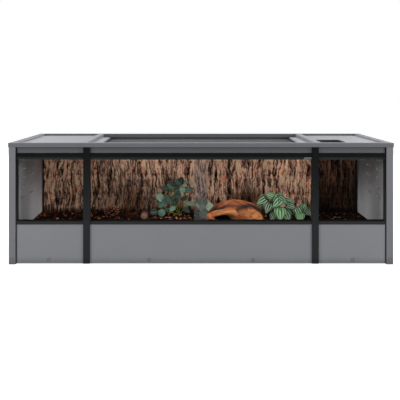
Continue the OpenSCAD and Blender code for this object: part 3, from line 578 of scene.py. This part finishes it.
def barkChips(count, seed, size, spread):
    # flat six-sided flakes: an uneven ring and a smaller one above it, each flake turned and tipped at random
    # and sunk 0.8 mm into the bed
    pick = np.random.default_rng(seed)
    x = pick.uniform(spread[0], spread[1], count)
    y = pick.uniform(spread[2], spread[3], count)
    reach = pick.uniform(size[0], size[1], count)[:, None, None]
    narrow, rise = np.array([1.0, 0.72])[None, :, None], np.array([0.0, 0.34])[None, :, None]
    angle = np.arange(6)[None, None, :] * math.pi / 3 + pick.uniform(-0.3, 0.3, (count, 2, 6))
    radius = reach * pick.uniform(0.7, 1.0, (count, 2, 6)) * narrow
    height = np.broadcast_to(reach * rise, angle.shape)
    flake = np.stack([radius * np.cos(angle), radius * 0.55 * np.sin(angle), height], -1)
    turn, tip = pick.uniform(0, 2 * math.pi, count), pick.normal(0, 0.22, count)
    c, s, none, one = np.cos(turn), np.sin(turn), np.zeros(count), np.ones(count)
    spin = np.stack([np.stack(row, -1) for row in ([c, -s, tip], [s, c, none], [-tip, none, one])], 1)
    flake = np.einsum("nij,nabj->nabi", spin, flake)
    lowest = flake[..., 2].min((1, 2))
    at = np.stack([x, y, soilLevel(x, y) - lowest - 0.8], -1)
    return gather(loft(rings, tone=own) for rings, own in zip(flake + at[:, None, None], pick.random(count)))


def chipFinish(name, stops):  # each flake has a tone of its own, with a grain on it
    finish = Finish(name)
    grain = finish.noise((4, 4, 2), detail=4, roughness=0.6)
    colour = finish.ramp(finish.mark("tone") * 0.7 + grain * 0.3, stops)
    return finish.close(colour, 0.82, grain, 0.001, Specular_IOR_Level=0.0)


makePiece("soil_bed", soilBed(), soilFinish(), ["substrate"])
makePiece("mulch_flakes", barkChips(**soil["mulch"]), chipFinish("barkMulch", soil["mulchLook"]),
          ["substrate"], smooth=False)
print("substrate laid")


def leafBlade(centre, heading, lean, length, width, tone, droop, cup, shape, face, point=0.0):
    # rings of a thin lens carried from the stalk to the tip: half width is a sine of the length that narrows
    # with its cube, the blade sags with its square, the edges lift from the midrib and side ribs ripple it
    rows, across, thick = 13, 16, 0.5
    h, k = math.radians(heading), math.radians(lean)
    ahead = np.array([math.cos(h) * math.cos(k), -math.sin(k), math.sin(h) * math.cos(k)])
    facing = np.array([0.12 * math.sin(7 * tone), -face, 1.0 - 0.6 * face])
    side = np.cross(facing, ahead)
    side /= np.linalg.norm(side)
    up = np.cross(ahead, side)
    u = np.linspace(0, 1, rows)[:, None]
    a = circle(across)[None, :]
    v = np.cos(a)
    half = width / 2 * np.sin(math.pi * (0.03 + 0.94 * u) ** shape) ** 0.72 * (1 - point * u ** 3)
    rib = 0.8 * np.cos(14 * np.pi * (u - 0.35 * np.abs(v))) * (1 - np.abs(v)) * (width / 60)
    z = -droop * length * u ** 2 + cup * half * np.abs(v) ** 1.4 + thick * np.sin(a) + rib
    local = np.stack([length * (u - 0.5) + 0 * v, half * v, z], -1)
    rings = np.asarray(centre, float) + local @ np.stack([ahead, side, up])
    points, faces, marks = loft(rings, tone=tone)
    marks["blade"] = np.stack([u + 0 * v, 0.5 + 0.5 * v + 0 * u], -1).reshape(-1, 2)
    return (points, faces, marks), rings[0].mean(0)


def stalk(path, low, high, tone):  # a tube along the path that tapers from one radius to the other
    points, faces, marks = loft(tube(path, np.linspace(low, high, len(path)), 7), tone=tone)
    return points, faces, dict(marks, blade=np.zeros((len(points), 2)))


def makePlant(plant):
    # every leaf hangs on a stalk that leaves the nearest stem below it, and every stem starts 4 mm under the
    # root's place
    name, thick, scale = plant["name"], plant["stemR"], plant["scale"]
    root = np.array(plant["root"], float) - [0, 0, 4]
    stems = [bend(root, tip, plant["stemLift"], 9) for tip in plant["stems"]]
    green = [stalk(path, thick, thick * 0.6, 0.5) for path in stems]
    joints = np.concatenate(stems)
    leaves = []
    for x, y, z, heading, lean, length, width in plant["leaves"]:
        tone = (0.15 + 0.618 * len(leaves)) % 1  # even spread of dark and pale leaves
        leaf, foot = leafBlade((x, y, z), heading, lean, length * scale, width * scale, tone, **plant["form"])
        leaves.append(leaf)
        gaps = np.linalg.norm(joints - foot, axis=1) + 2.0 * np.clip(joints[:, 2] - foot[2], 0, None)
        path = bend(joints[np.argmin(gaps)], foot, plant["stalkLift"])
        green.append(stalk(path, thick * 0.5, thick * 0.35, 0.8))
    makePiece(name + "_leaves", gather(leaves), plant["leafLook"](), [name])
    makePiece(name + "_stems", gather(green), plant["stemLook"](), [name])


def bladeAxes(finish):  # how far along a leaf, 0 to 1, and how far off its midrib, 0 to 0.5
    blade = finish.node("ShaderNodeUVMap", {"uv_map": "blade"})
    along, across = (finish.node("ShaderNodeSeparateXYZ", {}, {0: blade}, out=name) for name in "XY")
    return along, (across - 0.5).apply("ABSOLUTE")


def stripes(wave, low, high):  # 1 on the middle of each turn of a wave, 0 beside it
    return 1 - (wave.apply("FRACT") - 0.5).apply("ABSOLUTE").band(low, high)


def ovalLeafLook(name, dark, mid, pale, rim):  # pale side veins run outward and forward from a pale midrib
    finish = Finish(name)
    along, across = bladeAxes(finish)
    bloom = finish.noise(12, detail=3)
    veins = stripes(along * 7.0 - across * 9.0, 0.06, 0.2)
    midrib, edge = 1 - across.band(0.015, 0.05), across.band(0.42, 0.5)
    share = finish.mark("tone") * 0.72 + bloom * 0.3
    colour = finish.ramp(share, [(0.24, dark), (0.54, mid), (0.82, pale)])
    colour = finish.mix(veins * 0.35, colour, pale)
    colour = finish.mix(midrib * 0.7, colour, rim)
    colour = finish.mix(edge * 0.35, colour, rim)
    return finish.close(colour, bloom * 0.2 + 0.38, veins + midrib, 0.0012)


def stripedLeafLook():  # silver stripes between dark veins that run from the stalk to the tip
    finish = Finish("stripedLeaf")
    along, across = bladeAxes(finish)
    bloom = finish.noise(9, detail=3)
    silver = stripes(across * 4.2 - along * 0.4 + bloom * 0.12 + 0.55, 0.13, 0.27)
    silver = silver * along.band(0.02, 0.16) * (1 - along.band(0.90, 1.0)) * (1 - across.band(0.44, 0.5))
    base = finish.ramp(finish.mark("tone") * 0.7 + bloom * 0.3,
                       [(0.2, tint(14, 54, 22)), (0.6, tint(38, 104, 44)), (0.9, tint(86, 150, 66))])
    colour = finish.mix(silver * 0.72, base, tint(206, 238, 200))
    return finish.close(colour, bloom * 0.2 + 0.34, silver, 0.0012)


def stemLook(name, low, high):  # streaks of two greens
    finish = Finish(name)
    streak = finish.noise((3, 3, 14), detail=3)
    return finish.close(finish.mix(streak, low, high), 0.45, streak, 0.0006)


# lengths in mm; leaves: centre, heading and lean in degrees, length and width
leafyPlant = {
    "name": "leafy_plant", "slot": "leaf_blue_green", "scale": 1.0, "root": (-112, 140, 148), "stemR": 3.0,
    "stemLift": 4, "stalkLift": 5, "form": {"shape": 0.92, "face": 0.8, "cup": 0.14, "droop": 0.10},
    "stems": [(-109, 132, 322), (-182, 124, 226), (-218, 112, 172), (-142, 110, 220), (-66, 126, 204),
              (-168, 134, 282)],
    "leaves": [
        (-104, 126, 330, 76, 20, 52, 36), (-86, 132, 322, 22, 10, 46, 30), (-120, 122, 326, 128, 12, 42, 30),
        (-142, 128, 314, 158, 15, 50, 32), (-66, 126, 287, 8, 10, 64, 32), (-124, 110, 284, 196, 40, 50, 36),
        (-96, 112, 286, 300, 50, 44, 32), (-126, 112, 256, 192, 30, 52, 34), (-190, 134, 290, 172, 0, 50, 34),
        (-160, 140, 300, 150, 0, 46, 30), (-166, 112, 230, 302, 20, 64, 36),
        (-216, 130, 240, 140, 10, 58, 44), (-206, 120, 208, 222, 15, 54, 42),
        (-133, 114, 222, 62, 10, 52, 32), (-56, 128, 208, 4, 10, 58, 28), (-84, 140, 236, 34, 0, 44, 28),
        (-248, 98, 166, 178, 22, 44, 42), (-207, 92, 164, 262, 22, 44, 40), (-74, 112, 176, 330, 20, 46, 26),
        (-150, 104, 184, 214, 24, 42, 28), (-184, 104, 178, 30, 24, 40, 26)],
    "leafLook": lambda: ovalLeafLook("blueGreenLeaf", tint(8, 22, 18), tint(56, 94, 80), tint(156, 196, 170),
                                     tint(146, 180, 150)),
    "stemLook": lambda: stemLook("yellowGreenStem", tint(120, 158, 30), tint(176, 206, 60)),
}

roundPlant = {
    "name": "round_leaf_plant", "slot": "leaf_grey_green", "scale": 1.0, "root": (14, 60, 148), "stemR": 2.2,
    "stemLift": 3, "stalkLift": 3, "form": {"shape": 1.0, "face": 0.9, "cup": 0.08, "droop": 0.06},
    "stems": [(8, 50, 226), (44, 46, 196), (18, 26, 180)],
    "leaves": [
        (8, 44, 232, 84, 20, 44, 46), (50, 40, 208, 22, 20, 46, 48), (12, 38, 200, 128, 20, 40, 42),
        (16, 30, 168, 262, 28, 44, 46), (-8, 52, 214, 168, 10, 34, 36), (36, 54, 180, 330, 10, 36, 38)],
    "leafLook": lambda: ovalLeafLook("greyGreenLeaf", tint(72, 94, 80), tint(136, 160, 138),
                                     tint(212, 230, 202), tint(150, 168, 140)),
    "stemLook": lambda: stemLook("greyStem", tint(96, 112, 70), tint(128, 146, 90)),
}

stripedPlant = {
    "name": "striped_plant", "slot": "leaf_striped", "scale": 1.26, "root": (420, 10, 148), "stemR": 2.6,
    "stemLift": 6, "stalkLift": 5,
    "form": {"shape": 0.58, "point": 0.72, "face": 0.85, "cup": 0.10, "droop": 0.14},
    "stems": [(330, 4, 232), (368, 8, 262), (412, 14, 266), (454, 0, 232), (512, -12, 204), (548, 10, 200),
              (420, -42, 204)],
    "leaves": [
        (322, -4, 246, 204, 22, 54, 46), (366, 4, 274, 150, 14, 46, 38), (412, 8, 270, 40, 12, 48, 38),
        (352, -22, 212, 246, 24, 52, 42), (399, -26, 240, 214, 34, 60, 50), (432, -12, 252, 330, 20, 50, 40),
        (413, -48, 184, 268, 26, 62, 52), (452, -40, 170, 292, 22, 52, 42), (478, -16, 220, 342, 14, 52, 36),
        (466, 0, 248, 20, 6, 44, 34), (514, -26, 190, 300, 24, 50, 42), (516, -40, 164, 262, 24, 46, 40),
        (542, 0, 214, 60, 10, 46, 40), (568, -4, 186, 322, 14, 46, 40), (304, 20, 210, 186, 4, 40, 34),
        (384, 14, 240, 96, 0, 44, 36), (376, -30, 168, 236, 20, 42, 34), (486, 20, 196, 80, 0, 42, 34)],
    "leafLook": stripedLeafLook,
    "stemLook": lambda: stemLook("redStem", tint(110, 60, 40), tint(146, 110, 60)),
}

for plant in (leafyPlant, roundPlant, stripedPlant):
    makePlant(plant)
print("plants grown")

hide = {  # lengths in mm
    "centre": (180.0, 5.7, 148.0), "size": (146.0, 76.0, 104.0), "wall": 13.0, "doorX": -64.0, "doorR": 44.0,
    "lump": {"centre": (243, -14, 150), "radii": (84, 58, 64), "seed": 61},
    "paw": {"centre": (50, -44, 160), "radii": (25, 18, 30), "seed": 64, "blush": 0.55},
    "arm": {"thick": 22, "seed": 1, "glow": 0.78, "path": [
        (52, -36, 182), (82, -52, 190), (112, -62, 197), (142, -65, 202), (170, -61, 198), (190, -48, 174)]},
    # painted shade on the shell: round the lump, in the fold over the arm, at the left end
    "seam": {"x": 243, "z": 150, "wide": 90, "high": 72},
    "foldX": [60, 100, 140, 200], "foldZ": [200, 214, 226, 226], "foldEnd": 206, "leftX": 132, "leftWide": 70,
    "dark": tint(30, 14, 8), "mid": tint(166, 88, 46), "pale": tint(250, 165, 97),
    "blush": tint(226, 112, 74),
}


def hideFolds(a, rise):  # worn folds of the wood, -1 to 1, that run over the shell
    wave = 3 * np.sin(a) + 2.2 * np.cos(2 * a) + rise * 3.2
    return 0.6 * np.sin(wave * 1.7) + 0.4 * (2 * drift(a * 7, rise * 9, 51) - 1)


def hideShell():
    # half of a lumpy ellipsoid: rings of angle a run from the crown down to the rim outside, then up again
    # inside; over the doorway the rim rises in an arc; the relief mark carries painted shade in the seam
    # round the front lump, in the fold over the arm and towards the shaded left end
    across, rows = 120, 34
    a = circle(across)[None, :]
    reach = hide["doorR"] ** 2 - (hide["size"][0] * np.cos(a) - hide["doorX"]) ** 2
    arch = np.where(np.sin(a) < 0, np.sqrt(np.clip(reach, 0, None)), 0)
    rim = np.arcsin(np.clip(arch / hide["size"][2], 0, 0.98))
    t = np.linspace(1, 0, rows)[:, None]

    def skin(size, rough):
        rise = rim + (0.5 * math.pi * 0.985 - rim) * t
        lump = 1 + 0.07 * np.sin(3 * a + 0.87) + 0.04 * np.sin(5 * a + 3 * rise)
        lump = lump + 0.10 * np.exp(-((a - 5.35) / 0.5) ** 2 - ((rise - 0.35) / 0.5) ** 2)
        lump = lump + rough * (0.022 * hideFolds(a, rise) + 0.012 * np.sin(a * 46 + 9 * rise))
        height = size[2] * np.sin(rise) * (1 + rough * 0.02 * hideFolds(a, rise))
        return np.stack([size[0] * np.cos(rise) * lump * np.cos(a),
                         size[1] * np.cos(rise) * lump * np.sin(a), height], -1), rise

    outer, rise = skin(hide["size"], 1.0)
    inner, _ = skin([half - hide["wall"] for half in hide["size"]], 0.0)
    rings = np.concatenate([outer, inner[::-1]]) + hide["centre"]
    rings[..., 2] = np.maximum(rings[..., 2], hide["centre"][2] - 1.0)
    x, z = outer[..., 0] + hide["centre"][0], outer[..., 2] + hide["centre"][2]
    ahead = np.clip(-outer[..., 1] / 20, 0, 1)
    seam = hide["seam"]
    oval = np.hypot((x - seam["x"]) / seam["wide"], (z - seam["z"]) / seam["high"])
    groove = np.exp(-((oval - 1.04) / 0.14) ** 2)
    fold = np.exp(-((z - np.interp(x, hide["foldX"], hide["foldZ"])) / 7) ** 2) * (x < hide["foldEnd"])
    left = np.clip((hide["leftX"] - x) / hide["leftWide"], 0, 1)
    # painted shade: the seam, the fold and the left end darken the shell's tone
    skinTone = 0.60 + 0.20 * hideFolds(a, rise) - ahead * np.maximum(0.52 * groove, 0.4 * fold) - 0.38 * left
    return loft(rings, relief=np.concatenate([skinTone, 0 * skinTone]), blush=0)


def hideLimb(thick, seed, glow, path):
    # a limb of the root along a smooth path; its girth swells at the knuckles and its skin is furrowed
    sides = 20
    t = np.linspace(0, 1, 44)
    knots = np.linspace(0, 1, len(path))
    blur = np.array([1, 2, 3, 4, 3, 2, 1]) / 16
    line = [np.interp(t, knots, run) for run in np.asarray(path, float).T]
    line = np.stack([np.convolve(np.pad(run, 3, "edge"), blur, "valid") for run in line], -1)
    girth = thick * (0.62 + 0.38 * t) * (1 + 0.10 * np.sin(9 * t + seed))
    girth = girth * np.clip(1 - (2 * t - 1) ** 6, 0.02, 1) ** 0.5  # closed ends
    rings = tube(line, girth, sides)
    turn, t = np.meshgrid(np.arange(sides), t)
    furrow = np.sin(turn * 0.942 + 5 * t + seed) * 0.07 + 0.05 * (drift(turn * 0.9, 14 * t + seed, 53) - 0.5)
    rings = line[:, None] + (rings - line[:, None]) * (1 + furrow[..., None])
    return loft(rings, relief=glow + 2.5 * furrow, blush=0)


def hideBoulder(centre, radii, seed, blush=0.0):
    # a lumpy swelling: a ball whose radius drifts with its direction, flat where it stands
    rise = np.linspace(-0.49, 0.49, 30)[:, None] * math.pi
    a = circle(48)[None, :]
    aim = np.stack([np.cos(rise) * np.cos(a), np.cos(rise) * np.sin(a), np.sin(rise) + 0 * a], -1)
    lump = drift(aim[..., 0] * 1.6 + 7, aim[..., 2] * 1.6 + aim[..., 1] + 7, seed) - 0.5
    pit = drift(aim[..., 0] * 6 + 9, aim[..., 2] * 6 + aim[..., 1] * 4 + 9, seed + 1) - 0.5
    swell = (1 + 0.2 * lump + 0.05 * pit)[..., None]
    rings = np.asarray(centre, float) + aim * np.asarray(radii, float) * swell
    rings[..., 2] = np.maximum(rings[..., 2], hide["centre"][2] - 1)
    # painted shade on each swelling's side towards -X
    relief = 0.62 + 0.4 * lump + 0.6 * pit - 0.8 * np.clip(-aim[..., 0] - 0.5, 0, 1)
    return loft(rings, relief=relief, blush=blush)


def hideFinish():  # swirled grain with painted shade in the seams, and a red blush on the paw
    finish = Finish("rootWood")
    grain = finish.noise((22, 8, 4), detail=5, roughness=0.6, twist=1.1)
    fleck = finish.noise(5, detail=3)
    share = finish.mark("relief") * 0.55 + grain * 0.4 + fleck * 0.14
    colour = finish.ramp(share, [(0.34, hide["dark"]), (0.56, hide["mid"]), (0.78, hide["pale"])])
    colour = finish.mix(finish.mark("blush") * share * 1.2, colour, hide["blush"])
    return finish.close(colour, grain * 0.2 + 0.42, grain, 0.003, Specular_IOR_Level=0.35)


def makeHide():
    shells = [hideShell(), hideBoulder(**hide["lump"]), hideBoulder(**hide["paw"]), hideLimb(**hide["arm"])]
    makePiece("wood_hide_carved", gather(shells), hideFinish(), ["wood_hide"])


makeHide()
print("hide carved")

log = {  # lengths in mm, the bands round its axis in metres
    "radius": 19.0, "from": -4.0, "to": 51.0, "x": -295.0, "z": soil["top"] + 18.0,
    "heart": (0.0025, 0.008), "ringIn": (0.0095, 0.0115), "ringOut": (0.0135, 0.0155),
    "skin": (0.0158, 0.0172),
}


def cutLog():
    # rings of a bumpy circle along Y; a small ring at each end closes the sawn face
    t = np.linspace(0, 1, 26)[:, None]
    a = circle(48)[None, :]
    rough = 0.9 * np.sin(9 * a + 5 * t) + 0.7 * np.sin(23 * a - 9 * t)
    radius = log["radius"] - 1.2 + rough * np.sin(np.pi * np.clip(t, 0.02, 0.98)) ** 0.2
    y = log["from"] + (log["to"] - log["from"]) * t + 0 * a
    rings = np.stack([log["x"] + radius * np.cos(a), y, log["z"] + radius * np.sin(a)], -1)
    ends = rings[[0, -1]]
    middle = ends.mean(1, keepdims=True)
    ends = middle + (ends - middle) * 0.06
    return loft(np.concatenate([ends[:1], rings, ends[1:]]), tone=0.5)


def logFinish():
    # growth rings round the log's own axis on the sawn ends, with a dark heart and one dark ring outside it;
    # rough bark round them
    finish = Finish("sawnLog")
    x, z = finish.axis("X") - log["x"] * mm, finish.axis("Z") - log["z"] * mm
    reach = (x * x + z * z).apply("SQRT")
    wobble = finish.noise(9, detail=2)
    rings = (reach * 900 + wobble * 1.4).apply("FRACT")
    worn = reach + wobble * 0.003
    dark = 1 - worn.band(*log["heart"]) + worn.band(*log["ringIn"]) - worn.band(*log["ringOut"])
    face = finish.mix(rings * 0.3 + dark * 0.6, tint(196, 146, 122), tint(92, 52, 42))
    crust = finish.noise((5, 12, 5), detail=4)
    skin = finish.ramp(crust, [(0.3, tint(40, 26, 22)), (0.7, tint(104, 70, 54))])
    colour = finish.mix(reach.band(*log["skin"]), face, skin)
    return finish.close(colour, 0.8, rings, 0.0006)


cone = {  # lengths in mm, turn in degrees
    "foot": (-482.0, 113.0, 148.0), "radius": 42.0, "height": 53.0, "scales": 44, "turn": 137.5,
    "core": [0.24, 0.36, 0.42, 0.42, 0.38, 0.32, 0.25, 0.17, 0.06],  # girth from the foot up
    "look": [(0.25, tint(10, 6, 5)), (0.6, tint(92, 46, 34)), (0.85, tint(216, 142, 112))],
}


def coneScales():
    # open cone: scales stand in a spiral on a dark core; each is a cupped flake that flares out and turns up,
    # and their reach follows a half ellipse of the height
    spine = np.zeros((len(cone["core"]), 3))
    spine[:, 2] = np.linspace(0, cone["height"] * 0.86, len(spine))
    shells = [loft(tube(spine + cone["foot"], cone["radius"] * np.array(cone["core"]), 12), tone=0.05)]
    u = np.linspace(0, 1, 5)[:, None]
    a = circle(8)[None, :]
    wide = (2.4 + 5.4 * np.sin(u * 2.2)) * np.cos(a)
    for k in range(cone["scales"]):
        share = (k + 0.5) / cone["scales"]
        reach = cone["radius"] * math.sqrt(max(1 - (1.7 * share - 0.62) ** 2, 0.05))
        turn = math.radians(cone["turn"] * k)
        c, s = math.cos(turn), math.sin(turn)
        out = reach * (0.3 + 0.7 * u) + 0 * a
        rise = 3 + (cone["height"] - 15) * share + (3 + 9 * share) * u ** 2 + 1.4 * np.sin(a)
        scale = np.stack([out * c - wide * s, out * s + wide * c, rise], -1) + cone["foot"]
        shells.append(loft(scale, tone=0.1 + 0.9 * u ** 1.6))
    return gather(shells)


chunks = {  # coarse red bark on the left
    "chips": {"count": 40, "seed": 37, "size": (11, 19), "spread": (-860, -150, 60, 180)},
    "look": [(0.3, tint(30, 14, 10)), (0.66, tint(104, 48, 28)), (0.9, tint(190, 96, 54))],
}

makePiece("cut_log", cutLog(), logFinish(), ["forest_litter"])
makePiece("forest_cone", coneScales(), chipFinish("coneScale", cone["look"]), ["forest_litter"])
makePiece("bark_chunks", barkChips(**chunks["chips"]), chipFinish("redBarkChip", chunks["look"]),
          ["forest_litter"], smooth=False)
print("litter laid")

# mm; flat: a wire's height by its width; cross: how far each layer stands off the middle
net = {"halfX": 510.5, "halfY": 271.5, "z": 547.8, "pitch": 4.2, "wire": 0.5, "flat": 0.8, "cross": 0.36}


def wireNet():
    # straight square wires in both directions, one layer on the other, eight corners each
    def bars(places, along):
        count = len(places)
        box = np.array([[i, j, k] for i in (-1, 1) for j in (-1, 1) for k in (-1, 1)], float)
        points = np.zeros((count, 8, 3))
        reach, level = ((net["halfX"], net["cross"]), (net["halfY"], -net["cross"]))[along]
        points[..., along] = box[:, 0] * reach
        points[..., 1 - along] = places[:, None] + box[:, 1] * net["wire"]
        points[..., 2] = net["z"] + level + box[:, 2] * net["wire"] * net["flat"]
        sides = [[0, 1, 3, 2], [4, 6, 7, 5], [0, 4, 5, 1], [2, 3, 7, 6], [0, 2, 6, 4], [1, 5, 7, 3]]
        return points.reshape(-1, 3), [[8 * n + i for i in side] for n in range(count) for side in sides], {}

    rows = np.arange(-net["halfY"] + 1, net["halfY"], net["pitch"])
    columns = np.arange(-net["halfX"] + 1, net["halfX"], net["pitch"])
    return gather([bars(rows, 0), bars(columns, 1)])


def wireFinish():  # dull wire with a faint mottle
    finish = Finish("netWire")
    dull = finish.noise(30, detail=3)
    return finish.close(finish.mix(dull, grey(92), grey(112)), 0.5, dull, 0.0002, Specular_IOR_Level=0.2)


makePiece("screen_net_wires", wireNet(), wireFinish(), ["screen_net"], body="screen",
          smooth=False)
print("net woven")

studio = {
    "world": 0.225, "floorLevel": 236, "floorGlow": 0.74,
    "lamps": [  # name, place, target, size and watts
        ("topLamp", (0.0, -0.5, 2.9), (0, 0, 0.4), (3.0, 1.6), 42),
        ("frontLamp", (-0.3, -4.2, 1.1), (0, 0, 0.3), (3.2, 1.4), 3),
        ("leftLamp", (-4.0, -2.5, 1.6), (0.5, 0, 0.3), (2.0, 1.2), 104),
        ("rightLamp", (4.0, -2.5, 1.6), (-0.5, 0, 0.3), (2.0, 1.2), 104),
        ("rearLeftLamp", (-3.0, 3.6, 1.8), (0.2, 0, 0.3), (2.0, 1.2), 60),
        ("rearRightLamp", (3.0, 3.6, 1.8), (-0.2, 0, 0.3), (2.0, 1.2), 60),
    ],
}


def makeFloor():  # a pale plane that glows to the camera alone
    mesh = bpy.data.meshes.new("floor")
    mesh.from_pydata([(-30, -30, 0), (30, -30, 0), (30, 60, 0), (-30, 60, 0)], [], [(0, 1, 2, 3)])
    floor = addObject("floor", mesh)
    finish = Finish("paleFloor")
    seen = finish.node("ShaderNodeLightPath", out="Is Camera Ray")
    glow = finish.mix(seen, (0, 0, 0, 1), (studio["floorGlow"],) * 3 + (1.0,))
    pale = finish.close(grey(studio["floorLevel"]), 0.9, Emission_Color=glow, Emission_Strength=1.0)
    mesh.materials.append(pale)


def makeWorld():  # white to the camera, in mirrors and through glass; dim on everything that it lights
    world = bpy.data.worlds.new("studio")
    bpy.context.scene.world = world
    sky = Finish("studio", world)
    seen, mirrored, through = (sky.node("ShaderNodeLightPath", out="Is " + kind + " Ray")
                               for kind in ("Camera", "Glossy", "Transmission"))
    seen = seen.apply("MAXIMUM", mirrored.apply("MAXIMUM", through))
    strength = sky.node("ShaderNodeMapRange", {}, {0: seen, 3: studio["world"], 4: 1.0})
    backdrop = sky.node("ShaderNodeBackground", {}, {"Color": (1, 1, 1, 1), "Strength": strength})
    sky.node("ShaderNodeOutputWorld", {}, {"Surface": backdrop})


def softLamp(name, place, target, size, watts):
    lamp = bpy.data.lights.new(name, "AREA")
    lamp.shape = "RECTANGLE"
    lamp.size, lamp.size_y = size
    lamp.energy = watts
    holder = addObject(name, lamp)
    holder.location = place
    holder.rotation_euler = (Vector(target) - Vector(place)).to_track_quat("-Z", "Y").to_euler()


makeFloor()
makeWorld()
for lamp in studio["lamps"]:
    softLamp(*lamp)
print("studio lit")
